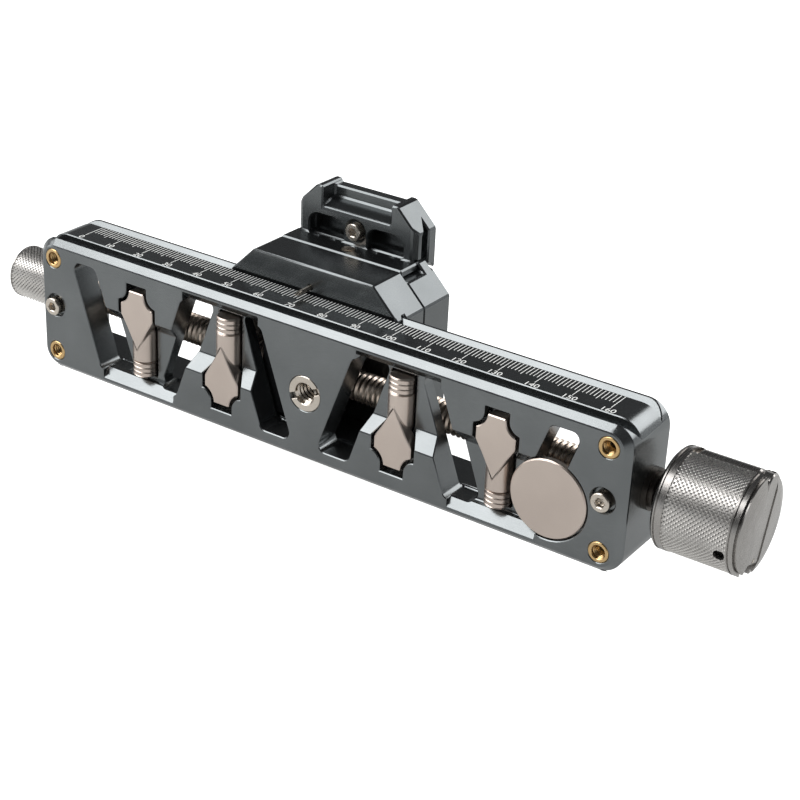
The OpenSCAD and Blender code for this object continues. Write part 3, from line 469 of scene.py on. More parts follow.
def copied_mesh(node: str) -> bpy.types.Mesh:
    """Returns a merged copy of a solid's mesh with flat faces joined and its stored normals cleared."""
    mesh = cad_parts[node].data.copy()
    stored = mesh.attributes.get("custom_normal")
    if stored:
        mesh.attributes.remove(stored)
    work = bmesh.new()
    work.from_mesh(mesh)
    bmesh.ops.remove_doubles(work, verts=work.verts, dist=MERGE_GAP)
    bmesh.ops.dissolve_limit(work, angle_limit=FLAT_ANGLE, verts=work.verts, edges=work.edges)
    bmesh.ops.recalc_face_normals(work, faces=work.faces)
    work.to_mesh(mesh)
    work.free()
    return mesh


def settled(piece: bpy.types.Object) -> bpy.types.Object:
    """Applies every modifier of a piece and takes them off."""
    graph = bpy.context.evaluated_depsgraph_get()
    mesh = bpy.data.meshes.new_from_object(piece.evaluated_get(graph))
    piece.modifiers.clear()
    piece.data = mesh
    return piece


def softened(node: str, name: str, width_mm: float) -> bpy.types.Object:
    """Copies a solid and breaks its sharp edges.

    Args:
        node: the solid's node.
        name: name of the new piece.
        width_mm: width of the edge break.

    Returns:
        The new piece.
    """
    piece = new_piece(name, copied_mesh(node))
    bevel = piece.modifiers.new("edge_break", "BEVEL")
    bevel.width = width_mm * MM
    bevel.segments = 1
    bevel.limit_method = "ANGLE"
    bevel.angle_limit = BEVEL_ANGLE
    bevel.use_clamp_overlap = False
    bevel.loop_slide = False
    return held_inside(settled(piece), node)


def held_inside(piece: bpy.types.Object, node: str) -> bpy.types.Object:
    """Pulls every vertex of a piece back into the box of its solid."""
    low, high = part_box(node)
    for vertex in piece.data.vertices:
        for axis in range(3):
            vertex.co[axis] = min(max(vertex.co[axis], low[axis]), high[axis])
    return piece


def cut(piece: bpy.types.Object, other: bpy.types.Object, operation: str) -> bpy.types.Object:
    """Cuts one piece with another and keeps the result.

    Args:
        piece: the piece that is changed.
        other: the cutter, which is removed.
        operation: DIFFERENCE, INTERSECT or UNION.

    Returns:
        The changed piece.
    """
    step = piece.modifiers.new("cut", "BOOLEAN")
    step.object = other
    step.operation = operation
    step.solver = "EXACT"
    settled(piece)
    bpy.data.objects.remove(other)
    return piece


def joined(name: str, pieces: list[bpy.types.Object]) -> bpy.types.Object:
    """Joins several pieces into one mesh under a new name."""
    work = bmesh.new()
    for part in pieces:
        work.from_mesh(part.data)
    mesh = bpy.data.meshes.new(name)
    work.to_mesh(mesh)
    work.free()
    for part in pieces:
        bpy.data.objects.remove(part)
    return new_piece(name, mesh)


def turned(name: str, outline: list[tuple[float, float]], steps: int) -> bpy.types.Object:
    """Turns an outline about the X axis into a closed shape.

    Args:
        name: name of the piece.
        outline: radius and distance along X, in millimetres, from one pole to the other.
        steps: number of faces around.

    Returns:
        The turned piece, with its axis on X.
    """
    work = bmesh.new()
    rings = []
    for radius, along in outline:
        ring = []
        for step in range(steps):
            angle = FULL_TURN * step / steps
            place = Vector((along, radius * math.cos(angle), radius * math.sin(angle))) * MM
            ring.append(work.verts.new(place))
        rings.append(ring)
    for low, high in zip(rings, rings[1:]):
        for step in range(steps):
            after = (step + 1) % steps
            work.faces.new((low[step], low[after], high[after], high[step]))
    work.faces.new(rings[0])
    work.faces.new(rings[-1])
    bmesh.ops.recalc_face_normals(work, faces=work.faces)
    mesh = bpy.data.meshes.new(name)
    work.to_mesh(mesh)
    work.free()
    return new_piece(name, mesh)


def placed(piece: bpy.types.Object, where: Matrix) -> bpy.types.Object:
    """Moves a piece's mesh, so that its object stays at the origin."""
    piece.data.transform(where)
    if where.determinant() < 0:
        piece.data.flip_normals()
    return piece


class Plan:
    """A Geometry Nodes tree with named inputs, which is run once for each piece."""

    def __init__(self, name: str, sizes: dict[str, str]) -> None:
        """Starts the tree.

        Args:
            name: name of the tree.
            sizes: input name to socket kind.
        """
        self.tree = bpy.data.node_groups.new(name, "GeometryNodeTree")
        for label, kind in sizes.items():
            self.tree.interface.new_socket(label, in_out="INPUT", socket_type=kind)
        self.tree.interface.new_socket("Material", in_out="INPUT", socket_type="NodeSocketMaterial")
        self.tree.interface.new_socket("Geometry", in_out="OUTPUT", socket_type="NodeSocketGeometry")
        self.inputs = self.tree.nodes.new("NodeGroupInput").outputs

    def node(self, kind: str, sockets: dict[Any, Any] | None = None, **settings: Any) -> Any:
        """Adds a node to this tree."""
        return add(self.tree, kind, sockets, **settings)

    def sum(self, operation: str, *terms: Any) -> Any:
        """Adds one arithmetic step and returns its output."""
        return self.node("ShaderNodeMath", dict(enumerate(terms)), operation=operation).outputs[0]

    def end(self, geometry: Any) -> None:
        """Closes the tree with real geometry and its material."""
        real = self.node("GeometryNodeRealizeInstances", {0: geometry})
        coat = {"Geometry": real.outputs[0], "Material": self.inputs["Material"]}
        painted = self.node("GeometryNodeSetMaterial", coat)
        self.node("NodeGroupOutput", {0: painted.outputs[0]})

    def run(self, name: str, finish: Finish, **values: float) -> bpy.types.Object:
        """Makes a plain mesh piece from the tree.

        Args:
            name: name of the piece.
            finish: finish for the material input.
            values: input name, with underscores for spaces, to its value.

        Returns:
            The new piece, with no modifier.
        """
        piece = new_piece(name, bpy.data.meshes.new(name))
        step = piece.modifiers.new("plan", "NODES")
        step.node_group = self.tree
        items = self.tree.interface.items_tree
        identifiers = {item.name: item.identifier for item in items if item.in_out == "INPUT"}
        step[identifiers["Material"]] = finish_material(finish)
        for label, value in values.items():
            step[identifiers[label.replace("_", " ")]] = value
        return settled(piece)


def knurl_plan() -> Plan:
    """Plans a closed cylinder along X whose skin is a diamond knurl."""
    plan = Plan(
        "diamond_knurl",
        {
            "Radius": "NodeSocketFloat",
            "Length": "NodeSocketFloat",
            "Depth": "NodeSocketFloat",
            "Around": "NodeSocketInt",
            "Rows": "NodeSocketInt",
        },
    )
    radius, length, depth, around, rows = (plan.inputs[i] for i in range(5))
    # Grid steps along and around each diamond, and the two steps that close the ends
    samples = 4.0
    end_steps = 2.0
    grid_half = 0.5
    half_cell = 0.5
    along_steps = plan.sum("MULTIPLY", rows, samples)
    along_all = plan.sum("ADD", along_steps, end_steps)
    around_steps = plan.sum("MULTIPLY", around, samples)
    grid = plan.node(
        "GeometryNodeMeshGrid",
        {
            "Size X": 1.0,
            "Size Y": 1.0,
            "Vertices X": plan.sum("ADD", along_all, 1.0),
            "Vertices Y": plan.sum("ADD", around_steps, 1.0),
        },
    )
    place = plan.node("GeometryNodeInputPosition")
    axes = plan.node("ShaderNodeSeparateXYZ", {0: place.outputs[0]})
    raw = plan.sum("MULTIPLY", plan.sum("ADD", axes.outputs[0], grid_half), along_all)
    step = plan.sum("SUBTRACT", plan.sum("ROUND", raw), 1.0)
    # One on the skin, and zero at the poles, where the ends close
    half_way = plan.sum("DIVIDE", along_steps, 2.0)
    inside = plan.sum("COMPARE", step, half_way, plan.sum("ADD", half_way, WHOLE_SLACK))
    low = plan.sum("MAXIMUM", step, 0.0)
    held = plan.sum("MINIMUM", low, along_steps)
    u = plan.sum("DIVIDE", held, samples)
    turn = plan.sum("ADD", axes.outputs[1], grid_half)
    v = plan.sum("MULTIPLY", turn, around)
    # Two crossed rows of ridges: the lower of both gives the diamonds
    first = plan.sum("PINGPONG", plan.sum("ADD", u, v), half_cell)
    second = plan.sum("PINGPONG", plan.sum("SUBTRACT", u, v), half_cell)
    rise = plan.sum("DIVIDE", plan.sum("MINIMUM", first, second), half_cell)
    low_radius = plan.sum("SUBTRACT", radius, depth)
    skin = plan.sum("MULTIPLY_ADD", rise, depth, low_radius)
    reach = plan.sum("MULTIPLY", skin, inside)
    angle = plan.sum("MULTIPLY", turn, FULL_TURN)
    x = plan.sum("MULTIPLY", plan.sum("DIVIDE", held, along_steps), length)
    target = plan.node(
        "ShaderNodeCombineXYZ",
        {
            0: x,
            1: plan.sum("MULTIPLY", reach, plan.sum("COSINE", angle)),
            2: plan.sum("MULTIPLY", reach, plan.sum("SINE", angle)),
        },
    )
    move = {"Geometry": grid.outputs[0], "Position": target.outputs[0]}
    shaped = plan.node("GeometryNodeSetPosition", move)
    merge = {"Geometry": shaped.outputs[0], "Distance": MERGE_GAP}
    closed = plan.node("GeometryNodeMergeByDistance", merge)
    plan.end(closed.outputs[0])
    return plan


def thread_plan() -> Plan:
    """Plans a thread along X: a ridge of square section that winds at one pitch."""
    plan = Plan(
        "wound_thread",
        {
            "Radius": "NodeSocketFloat",
            "Turns": "NodeSocketFloat",
            "Pitch": "NodeSocketFloat",
            "Ridge": "NodeSocketFloat",
            "Steps": "NodeSocketInt",
        },
    )
    radius, turns, pitch, ridge, steps = (plan.inputs[i] for i in range(5))
    path = plan.node(
        "GeometryNodeCurveSpiral",
        {
            "Resolution": steps,
            "Rotations": turns,
            "Start Radius": radius,
            "End Radius": radius,
            "Height": plan.sum("MULTIPLY", turns, pitch),
        },
    )
    upright = plan.node("GeometryNodeSetCurveNormal", {"Curve": path.outputs[0]}, mode="Z_UP")
    corners = 4
    section = plan.node("GeometryNodeCurvePrimitiveCircle", {"Resolution": corners, "Radius": ridge})
    ridge_mesh = plan.node(
        "GeometryNodeCurveToMesh",
        {"Curve": upright.outputs[0], "Profile Curve": section.outputs[0], "Fill Caps": True},
    )
    laid = plan.node(
        "GeometryNodeTransform",
        {"Geometry": ridge_mesh.outputs[0], "Rotation": (0.0, math.pi / 2.0, 0.0)},
    )
    plan.end(laid.outputs[0])
    return plan


def tick_plan() -> Plan:
    """Plans a row of engraved lines along X, longer at every fifth and tenth."""
    plan = Plan(
        "scale_ticks",
        {
            "Count": "NodeSocketInt",
            "Pitch": "NodeSocketFloat",
            "Width": "NodeSocketFloat",
            "Rise": "NodeSocketFloat",
            "Short": "NodeSocketFloat",
            "Middle": "NodeSocketFloat",
            "Long": "NodeSocketFloat",
        },
    )
    count, pitch, width, rise, short, middle, long = (plan.inputs[i] for i in range(7))
    pace = plan.node("ShaderNodeCombineXYZ", {0: pitch})
    line = plan.node("GeometryNodeMeshLine", {"Count": count, "Offset": pace.outputs[0]}, mode="OFFSET")
    number = plan.node("GeometryNodeInputIndex").outputs[0]
    tenth = plan.sum("COMPARE", plan.sum("MODULO", number, float(LONG_EVERY)), 0.0, WHOLE_SLACK)
    fifth = plan.sum("COMPARE", plan.sum("MODULO", number, float(MIDDLE_EVERY)), 0.0, WHOLE_SLACK)
    extra = plan.sum("MULTIPLY", fifth, plan.sum("SUBTRACT", middle, short))
    more = plan.sum("MULTIPLY", tenth, plan.sum("SUBTRACT", long, middle))
    length = plan.sum("ADD", short, plan.sum("ADD", extra, more))
    size = plan.node("ShaderNodeCombineXYZ", {0: width, 1: length, 2: rise})
    bar = plan.node("GeometryNodeMeshCube", {"Size": (1.0, 1.0, 1.0)})
    bars = plan.node(
        "GeometryNodeInstanceOnPoints",
        {"Points": line.outputs[0], "Instance": bar.outputs[0], "Scale": size.outputs[0]},
    )
    shift = plan.node("ShaderNodeCombineXYZ", {1: plan.sum("MULTIPLY", length, -0.5)})
    moved = plan.node(
        "GeometryNodeTranslateInstances",
        {"Instances": bars.outputs[0], "Translation": shift.outputs[0], "Local Space": False},
    )
    plan.end(moved.outputs[0])
    return plan


@dataclass
class RailBody:
    """The milled rail with its scale, inserts, bushing and end screws."""

    edge_mm: float = 0.22
    scale_start_mm: float = -80.0
    scale_marks: int = 161
    tick_width_mm: float = 0.19
    tick_rise_mm: float = 0.03
    tick_rear_y_mm: float = 14.9
    short_mm: float = 4.2
    middle_mm: float = 5.0
    long_mm: float = 6.9
    digit_height_mm: float = 1.9
    digit_y_mm: float = 5.75
    insert_edge_mm: float = 0.15
    insert_radius_mm: float = 2.65
    insert_bore_mm: float = 1.75
    insert_pitch_mm: float = 0.7
    screw_edge_mm: float = 0.2
    bushing_edge_mm: float = 0.15
    bushing_bore_mm: float = 2.9
    bushing_pitch_mm: float = 1.27
    thread_inset_mm: float = 0.5
    thread_steps: int = 24
    ridge_share: float = 0.28
    body: str = "rail"

    def frame_piece(self) -> None:
        """Makes the rail with its broken edges."""
        piece = softened("rail_frame", "milled_rail", self.edge_mm)
        hold(piece, self.body, ANODISED_RAIL, "rail_frame")

    def scale(self, plan: Plan) -> None:
        """Makes the millimetre lines and the numbers beside every tenth line."""
        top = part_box("rail_frame")[1].z / MM
        ticks = plan.run(
            "scale_lines",
            EngravingPaint(),
            Count=self.scale_marks,
            Pitch=MM,
            Width=self.tick_width_mm * MM,
            Rise=self.tick_rise_mm * MM,
            Short=self.short_mm * MM,
            Middle=self.middle_mm * MM,
            Long=self.long_mm * MM,
        )
        where = Vector((self.scale_start_mm, self.tick_rear_y_mm, top)) * MM
        hold(placed(ticks, Matrix.Translation(where)), self.body, EngravingPaint())
        labels = [self.number(mark, top) for mark in range(0, self.scale_marks, LONG_EVERY)]
        hold(joined("scale_numbers", labels), self.body, EngravingPaint())

    def number(self, mark: int, top: float) -> bpy.types.Object:
        """Makes one number of the scale as a thin mesh.

        Args:
            mark: the number.
            top: height of the scale land in millimetres.

        Returns:
            The number's piece.
        """
        text = bpy.data.curves.new(f"number_{mark}", "FONT")
        text.body = str(mark)
        text.size = self.digit_height_mm * MM / DIGIT_SHARE
        text.align_x = "CENTER"
        text.extrude = self.tick_rise_mm * MM / 2.0
        holder = bpy.data.objects.new("number", text)
        bpy.context.scene.collection.objects.link(holder)
        graph = bpy.context.evaluated_depsgraph_get()
        mesh = bpy.data.meshes.new_from_object(holder.evaluated_get(graph))
        bpy.data.objects.remove(holder)
        where = Vector((self.scale_start_mm + mark, self.digit_y_mm, top)) * MM
        return placed(new_piece(f"number_{mark}", mesh), Matrix.Translation(where))

    def hardware(self, threads: Plan) -> None:
        """Makes the inserts, end screws and tripod bushing, with the threads inside."""
        inserts = softened("corner_inserts", "threaded_inserts", self.insert_edge_mm)
        hold(inserts, self.body, BRASS, "corner_inserts")
        screws = softened("end_screws", "end_cap_screws", self.screw_edge_mm)
        hold(screws, self.body, STAINLESS, "end_screws")
        bushing = softened("tripod_bushing", "slotted_bushing", self.bushing_edge_mm)
        hold(bushing, self.body, STAINLESS, "tripod_bushing")
        low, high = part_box("corner_inserts")
        depth = high.y - low.y
        edge = self.insert_radius_mm * MM
        ridges = []
        for x in (low.x + edge, high.x - edge):
            for z in (low.z + edge, high.z - edge):
                mouth = Vector((x, low.y, z))
                sizes = (self.insert_bore_mm, self.insert_pitch_mm, depth)
                ridges.append(self.inner_thread(threads, mouth, *sizes))
        hold(joined("insert_threads", ridges), self.body, BRASS)
        low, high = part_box("tripod_bushing")
        middle = (low + high) / 2.0
        start = Vector((middle.x, low.y, middle.z))
        sizes = (self.bushing_bore_mm, self.bushing_pitch_mm, high.y - low.y)
        ridge = self.inner_thread(threads, start, *sizes)
        hold(joined("bushing_thread", [ridge]), self.body, STAINLESS)

    def inner_thread(
        self, threads: Plan, start: Vector, radius_mm: float, pitch_mm: float, depth: float
    ) -> bpy.types.Object:
        """Winds a thread inside a bore that opens to the front.

        Args:
            threads: the thread plan.
            start: centre of the bore's mouth.
            radius_mm: wall radius.
            pitch_mm: pitch of the thread.
            depth: length of the bore in metres.

        Returns:
            The thread's piece.
        """
        inset = self.thread_inset_mm * MM
        ridge = self.ridge_share * pitch_mm * MM
        run = depth - 2.0 * inset
        thread = threads.run(
            "inner_thread",
            STAINLESS,
            Radius=radius_mm * MM,
            Turns=run / (pitch_mm * MM),
            Pitch=pitch_mm * MM,
            Ridge=ridge,
            Steps=self.thread_steps,
        )
        turn = Euler((0.0, 0.0, math.pi / 2.0)).to_matrix().to_4x4()
        return placed(thread, Matrix.Translation(start + Vector((0.0, inset, 0.0))) @ turn)


@dataclass
class StoredTools:
    """The four thumb screws and the coin tool that lie in the front of the rail."""

    edge_mm: float = 0.25
    thread_radius_mm: float = 3.175
    thread_pitch_mm: float = 1.27
    thread_length_mm: float = 4.3
    thread_start_mm: float = 8.2
    thread_steps: int = 32
    ridge_mm: float = 0.25
    ridge_sunk_share: float = 0.2
    shank_radius_mm: float = 3.35
    coin_edge_mm: float = 0.3
    paddle_up: tuple[int, ...] = (1, 4)
    bodies: tuple[str, ...] = ("thumb_1", "thumb_2", "thumb_3", "thumb_4")

    def thumb_screw(self, number: int, threads: Plan) -> None:
        """Makes one thumb screw: flat paddle, turned neck and a real thread."""
        node = f"thumb_screw_{number}"
        body = self.bodies[number - 1]
        thread_down = number in self.paddle_up
        hold(softened(node, f"thumb_paddle_{number}", self.edge_mm), body, BLASTED, node)
        low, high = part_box(node)
        x = (low.x + high.x) / 2.0
        axis_y = high.y - self.shank_radius_mm * MM
        ridge = self.ridge_mm * MM
        thread = threads.run(
            f"thumb_thread_{number}",
            BLASTED,
            Radius=self.thread_radius_mm * MM - ridge * self.ridge_sunk_share,
            Turns=self.thread_length_mm / self.thread_pitch_mm,
            Pitch=self.thread_pitch_mm * MM,
            Ridge=ridge,
            Steps=self.thread_steps,
        )
        quarter = math.pi / 2.0
        turn = Euler((0.0, quarter if thread_down else -quarter, 0.0)).to_matrix().to_4x4()
        reach = self.thread_start_mm * MM
        start = Vector((x, axis_y, -reach if thread_down else reach))
        hold(placed(thread, Matrix.Translation(start) @ turn), body, BLASTED)

    def coin(self) -> None:
        """Makes the coin tool with its rounded rim."""
        disc = softened("coin_tool", "coin_tool_disc", self.coin_edge_mm)
        hold(disc, "coin", BLASTED, "coin_tool")


@dataclass(frozen=True)
class Knurl:
    """Sizes of one knurled band: crest radius, depth, and diamonds around and along."""

    radius_mm: float
    depth_mm: float
    around: int
    rows: int

    def band(self, plan: Plan, name: str, length_mm: float) -> bpy.types.Object:
        """Makes the band along X from the origin.

        Args:
            plan: the knurl plan.
            name: name of the piece.
            length_mm: length of the band.

        Returns:
            The band.
        """
        return plan.run(
            name,
            # The knurl colours are a painted highlight, lighter than the turned aluminium of the same knob
            KNURLED_PAINTED_LIGHTER,
            Radius=self.radius_mm * MM,
            Length=length_mm * MM,
            Depth=self.depth_mm * MM,
            Around=self.around,
            Rows=self.rows,
        )


@dataclass
class Drive:
    """The lead screw with its two knobs."""

    screw_radius_mm: float = 4.0
    screw_root_mm: float = 3.5
    screw_pitch_mm: float = 1.5
    screw_end_mm: float = 82.2
    screw_steps: int = 24
    thread_run_out_mm: float = 1.0
    journal_radius_mm: float = 2.98
    knurl: Knurl = Knurl(radius_mm=12.33, depth_mm=0.32, around=66, rows=14)
    knurl_start_mm: float = 98.8
    knurl_end_mm: float = 114.6
    knurl_wall_mm: float = 1.0
    recess_reach_mm: float = 13.5
    rear: Knurl = Knurl(radius_mm=7.44, depth_mm=0.4, around=40, rows=12)
    rear_bevel_mm: float = 1.2
    rear_bevel_run_mm: float = 0.9
    rear_end_drop_mm: float = 1.0
    rear_ring_drop_mm: float = 0.1
    rear_core_drop_mm: float = 0.7
    body: str = "drive"

    def lead_screw(self, threads: Plan) -> None:
        """Makes the lead screw: a core, its journals and the wound thread."""
        low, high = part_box("lead_screw")
        axis = (low + high) / 2.0
        inner = self.screw_end_mm
        wound = inner - self.thread_run_out_mm
        outline = [
            (self.journal_radius_mm, low.x / MM),
            (self.journal_radius_mm, -inner),
            (self.screw_root_mm, -inner),
            (self.screw_root_mm, inner),
            (self.journal_radius_mm, inner),
            (self.journal_radius_mm, high.x / MM),
        ]
        on_axis = Matrix.Translation((0.0, axis.y, axis.z))
        core = placed(turned("screw_core", outline, SCREW_SIDES), on_axis)
        ridge = (self.screw_radius_mm - self.screw_root_mm) * MM
        thread = threads.run(
            "screw_thread",
            ROLLED,
            Radius=self.screw_root_mm * MM,
            Turns=2.0 * wound / self.screw_pitch_mm,
            Pitch=self.screw_pitch_mm * MM,
            Ridge=ridge,
            Steps=self.screw_steps,
        )
        start = Vector((-wound * MM, axis.y, axis.z))
        placed(thread, Matrix.Translation(start))
        hold(joined("lead_screw_thread", [core, thread]), self.body, ROLLED, "lead_screw")

    def drive_knob(self, plan: Plan) -> None:
        """Makes the large knob: plain rings from the solid, and a knurled band let into it."""
        low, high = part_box("drive_knob")
        axis = (low + high) / 2.0
        on_axis = Matrix.Translation((0.0, axis.y, axis.z))
        rings = new_piece("knob_rings", copied_mesh("drive_knob"))
        recess_outline = [
            (self.recess_reach_mm, self.knurl_start_mm),
            (self.recess_reach_mm, self.knurl_end_mm),
        ]
        recess = placed(turned("knurl_recess", recess_outline, KNOB_SIDES), on_axis)
        core_radius = self.knurl.radius_mm - self.knurl_wall_mm
        core_outline = [
            (core_radius, self.knurl_start_mm - self.knurl_wall_mm),
            (core_radius, self.knurl_end_mm + self.knurl_wall_mm),
        ]
        core = placed(turned("knurl_core", core_outline, KNOB_SIDES), on_axis)
        cut(recess, core, "DIFFERENCE")
        band = self.knurl.band(plan, "knob_band", self.knurl_end_mm - self.knurl_start_mm)
        placed(band, Matrix.Translation((self.knurl_start_mm * MM, axis.y, axis.z)))
        whole = new_piece("knob_whole", copied_mesh("drive_knob"))
        cut(band, whole, "INTERSECT")
        cut(rings, recess, "DIFFERENCE")
        # The rings take the darker tone and the band the lighter tone of one aluminium: painted shade and
        # painted highlight
        hold(rings, self.body, TURNED, "drive_knob")
        hold(band, self.body, KNURLED_PAINTED_LIGHTER)

    def rear_knob(self, plan: Plan) -> None:
        """Makes the small knob with its knurl between two plain bevels."""
        low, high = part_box("rear_knob")
        axis = (low + high) / 2.0
        left = low.x / MM
        right = high.x / MM
        bevel = self.rear_bevel_mm
        run = self.rear_bevel_run_mm
        lip = self.rear_ring_drop_mm
        end_radius = self.rear.radius_mm - self.rear_end_drop_mm
        ring_radius = self.rear.radius_mm - self.rear_ring_drop_mm
        core_radius = self.rear.radius_mm - self.rear_core_drop_mm
        ends = [
            (end_radius, left),
            (ring_radius, left + run),
            (ring_radius, left + bevel),
            (core_radius, left + bevel + lip),
            (core_radius, right - bevel - lip),
            (ring_radius, right - bevel),
            (ring_radius, right - run),
            (end_radius, right),
        ]
        on_axis = Matrix.Translation((0.0, axis.y, axis.z))
        plain = placed(turned("rear_knob_ends", ends, KNOB_SIDES), on_axis)
        band = self.rear.band(plan, "rear_knob_band", right - left - 2.0 * bevel)
        placed(band, Matrix.Translation((low.x + bevel * MM, axis.y, axis.z)))
        hold(plain, self.body, TURNED, "rear_knob")
        hold(band, self.body, KNURLED_PAINTED_LIGHTER)


@dataclass
class Carriage:
    """The saddle, the clamp body, the pointer, the jaw with its screw, and the clamp knob."""

    edge_mm: float = 0.4
    pointer_edge_mm: float = 0.1
    screw_edge_mm: float = 0.2
    knob_skin_mm: float = 0.06
    knob_ring_mm: float = 0.8
    knob_knurl_mm: float = 0.35
    knob_around: int = 36
    knob_rows: int = 3
    disc_share: float = 0.96
    body: str = "carriage"

    def blocks(self) -> None:
        """Makes the two blocks and the pointer."""
        saddle = softened("carriage_saddle", "saddle_block", self.edge_mm)
        hold(saddle, self.body, ANODISED, "carriage_saddle")
        clamp = softened("clamp_body", "clamp_block", self.edge_mm)
        hold(clamp, self.body, ANODISED, "clamp_body")
        pointer = softened("pointer_pin", "pointer_needle", self.pointer_edge_mm)
        hold(pointer, self.body, STAINLESS, "pointer_pin")

    def jaw(self) -> None:
        """Makes the moving jaw with its screw."""
        jaw = softened("clamp_jaw", "moving_jaw", self.edge_mm)
        hold(jaw, "jaw", ANODISED, "clamp_jaw")
        screw = softened("jaw_screw", "jaw_cap_screw", self.screw_edge_mm)
        hold(screw, "jaw", STAINLESS, "jaw_screw")

    def knob(self, plan: Plan) -> None:
        """Makes the clamp knob with a knurled rim."""
        low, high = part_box("clamp_knob")
        axis = (low + high) / 2.0
        height = (high.z - low.z) / MM
        radius = (high.x - low.x) / 2.0 / MM - self.knob_skin_mm
        knurl = Knurl(radius, self.knob_knurl_mm, self.knob_around, self.knob_rows)
        band = knurl.band(plan, "clamp_knob_band", height - 2.0 * self.knob_ring_mm)
        turn = Euler((0.0, -math.pi / 2.0, 0.0)).to_matrix().to_4x4()
        foot = (axis.x, axis.y, low.z + self.knob_ring_mm * MM)
        placed(band, Matrix.Translation(foot) @ turn)
        whole = new_piece("clamp_knob_disc", copied_mesh("clamp_knob"))
        shrunk = Matrix.Diagonal((self.disc_share, self.disc_share, 1.0, 1.0))
        placed(whole, Matrix.Translation(axis) @ shrunk @ Matrix.Translation(-axis))
        hold(whole, "clamp_knob", TURNED, "clamp_knob")
        hold(band, "clamp_knob", KNURLED_PAINTED_LIGHTER)


@dataclass
class Crank:
    """The crank that folds into the drive knob."""

    edge_mm: float = 0.3

    def build(self) -> None:
        """Makes the arm and the grip."""
        hold(softened("crank_arm", "crank_arm_bar", self.edge_mm), "crank", TURNED, "crank_arm")
        hold(softened("crank_grip", "crank_grip_sleeve", self.edge_mm), "grip", TURNED, "crank_grip")


PLAIN_NODES: dict[str, MetalFinish] = {
    "coin_magnet": NICKEL,
    "paddle_magnets": NICKEL,
    "right_bush": BRONZE,
    "left_bush": BRONZE,
    "thrust_collar": GROUND,
    "knob_set_screw": OXIDE,
    "rear_set_screw": OXIDE,
    "crank_hinge_pin": STAINLESS,
    "crank_dowel": STAINLESS,
    "grip_axle": STAINLESS,
    "travelling_nut": OXIDE,
    "nut_screws": STAINLESS,
    "gib_strip": BRASS,
    "gib_screws": OXIDE,
    "joining_screws": STAINLESS,
    "clamp_washer": STAINLESS,
    "draw_rod": ROLLED,
}


def dress_plain_nodes() -> None:
    """Gives the solids that stay as they are their finishes."""
    for node, finish in PLAIN_NODES.items():
        dress(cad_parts[node], finish)
        log.info("%s keeps its solid with %s", node, finish.name)


@dataclass(frozen=True)
class Lamp:
    """A square soft lamp that faces the rail."""

    name: str
    way: tuple[float, float, float]
    side_m: float
    power_w: float


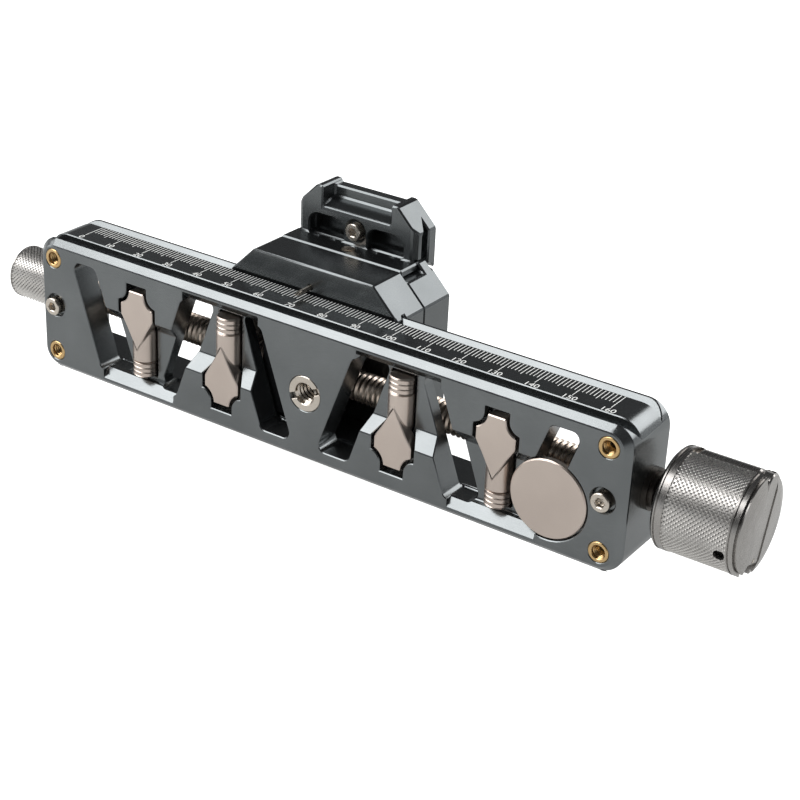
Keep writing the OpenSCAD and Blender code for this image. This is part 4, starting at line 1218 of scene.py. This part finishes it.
@dataclass
class Studio:
    """Camera, lamps, world and floor of a plain white studio."""

    eye_mm: tuple[float, float, float] = (244.005, -326.373, 203.623)
    turn_deg: tuple[float, float, float] = (63.3414, -2.4386, 34.6665)
    lens_mm: float = 82.79
    near_m: float = 0.01
    far_m: float = 20.0
    lamp_distance_m: float = 0.75
    horizon_rise: tuple[float, float] = (0.02, 0.3)
    horizon_glow: tuple[float, float] = (0.8, 0.07)
    room_glow: float = 0.9
    floor_drop_mm: float = 0.4
    floor_half_m: float = 3.0
    floor_gloss: float = 0.19
    room_colour: str = "#e9ebee"
    glow_colour: str = "#f4f6f8"
    floor_colour: str = "#b9b9b7"
    lamps: tuple[Lamp, ...] = (
        Lamp("lamp_front_top", (-0.49, -0.45, 0.75), side_m=0.5, power_w=3.6),
        Lamp("lamp_rear_right", (0.45, 0.75, 0.49), side_m=0.45, power_w=2.2),
        Lamp("lamp_low_left", (-0.9, -0.35, 0.3), side_m=0.4, power_w=1.0),
    )

    def camera(self) -> None:
        """Places the camera where the photograph was taken from."""
        data = bpy.data.cameras.new("view")
        data.lens = self.lens_mm
        data.sensor_width = SENSOR_WIDTH
        data.sensor_fit = "HORIZONTAL"
        data.clip_start = self.near_m
        data.clip_end = self.far_m
        camera = bpy.data.objects.new("view", data)
        camera.location = Vector(self.eye_mm) * MM
        camera.rotation_euler = Euler([math.radians(a) for a in self.turn_deg])
        bpy.context.scene.collection.objects.link(camera)
        bpy.context.scene.camera = camera

    def light(self) -> None:
        """Hangs the soft lamps around the rail."""
        for lamp in self.lamps:
            data = bpy.data.lights.new(lamp.name, "AREA")
            data.shape = "SQUARE"
            data.size = lamp.side_m
            data.energy = lamp.power_w
            hung = bpy.data.objects.new(lamp.name, data)
            way = Vector(lamp.way)
            hung.location = way.normalized() * self.lamp_distance_m
            hung.rotation_euler = (-way).to_track_quat("-Z", "Y").to_euler()
            bpy.context.scene.collection.objects.link(hung)

    def world(self) -> None:
        """Makes the world white to the eye and grey to the object."""
        world = bpy.data.worlds.new("studio")
        bpy.context.scene.world = world
        world.use_nodes = True
        tree = world.node_tree
        tree.nodes.clear()
        ray = add(tree, "ShaderNodeLightPath")
        way = add(tree, "ShaderNodeTexCoord")
        axes = add(tree, "ShaderNodeSeparateXYZ", {0: way.outputs["Generated"]})
        low, high = self.horizon_rise
        bright, dim = self.horizon_glow
        rise = add(
            tree,
            "ShaderNodeMapRange",
            {
                "Value": axes.outputs["Z"],
                "From Min": low,
                "From Max": high,
                "To Min": bright,
                "To Max": dim,
            },
            interpolation_type="SMOOTHSTEP",
        )
        room = {"Color": linear(self.room_colour), "Strength": self.room_glow}
        plain = add(tree, "ShaderNodeBackground", room)
        glow = {"Color": linear(self.glow_colour), "Strength": rise.outputs[0]}
        gloss = add(tree, "ShaderNodeBackground", glow)
        white = add(tree, "ShaderNodeBackground", {"Color": (1.0, 1.0, 1.0, 1.0), "Strength": 1.0})
        to_metal = {0: ray.outputs["Is Glossy Ray"], 1: plain.outputs[0], 2: gloss.outputs[0]}
        shown = add(tree, "ShaderNodeMixShader", to_metal)
        to_eye = {0: ray.outputs["Is Camera Ray"], 1: shown.outputs[0], 2: white.outputs[0]}
        seen = add(tree, "ShaderNodeMixShader", to_eye)
        add(tree, "ShaderNodeOutputWorld", {"Surface": seen.outputs[0]})

    def floor(self) -> None:
        """Lays the pale floor just under the part's lowest point."""
        half = self.floor_half_m
        height = CAD_BOX[0].z - self.floor_drop_mm * MM
        mesh = bpy.data.meshes.new("floor")
        corners = ((-half, -half), (half, -half), (half, half), (-half, half))
        mesh.from_pydata([(x, y, height) for x, y in corners], [], [(0, 1, 2, 3)])
        floor = new_piece("floor", mesh)
        material = bpy.data.materials.new("pale_floor")
        material.use_nodes = True
        tree = material.node_tree
        tree.nodes.clear()
        ray = add(tree, "ShaderNodeLightPath")
        paper = add(tree, "ShaderNodeBsdfDiffuse", {"Color": linear(self.floor_colour)})
        to_metal = {0: ray.outputs["Is Glossy Ray"], 1: self.floor_gloss}
        gloss = add(tree, "ShaderNodeMath", to_metal, operation="MULTIPLY")
        to_eye = {0: ray.outputs["Is Camera Ray"], 1: gloss.outputs[0]}
        level = add(tree, "ShaderNodeMath", to_eye, operation="MAXIMUM")
        glow = add(tree, "ShaderNodeEmission", {"Strength": level.outputs[0]})
        both = add(tree, "ShaderNodeAddShader", {0: paper.outputs[0], 1: glow.outputs[0]})
        add(tree, "ShaderNodeOutputMaterial", {"Surface": both.outputs[0]})
        mesh.materials.append(material)

    def build(self) -> None:
        """Sets up the whole studio."""
        self.camera()
        self.light()
        self.world()
        self.floor()
        bpy.context.scene.view_settings.view_transform = "Standard"


def main() -> None:
    """Builds the rail's sub-assemblies in order, then the studio."""
    logging.basicConfig(level=logging.INFO, format="%(message)s")
    knurl, thread, ticks = knurl_plan(), thread_plan(), tick_plan()
    rail = RailBody()
    rail.frame_piece()
    rail.scale(ticks)
    rail.hardware(thread)
    tools = StoredTools()
    for number in range(1, len(tools.bodies) + 1):
        tools.thumb_screw(number, thread)
    tools.coin()
    drive = Drive()
    drive.lead_screw(thread)
    drive.drive_knob(knurl)
    drive.rear_knob(knurl)
    carriage = Carriage()
    carriage.blocks()
    carriage.jaw()
    carriage.knob(knurl)
    Crank().build()
    dress_plain_nodes()
    Studio().build()


if __name__ == "__main__":
    main()
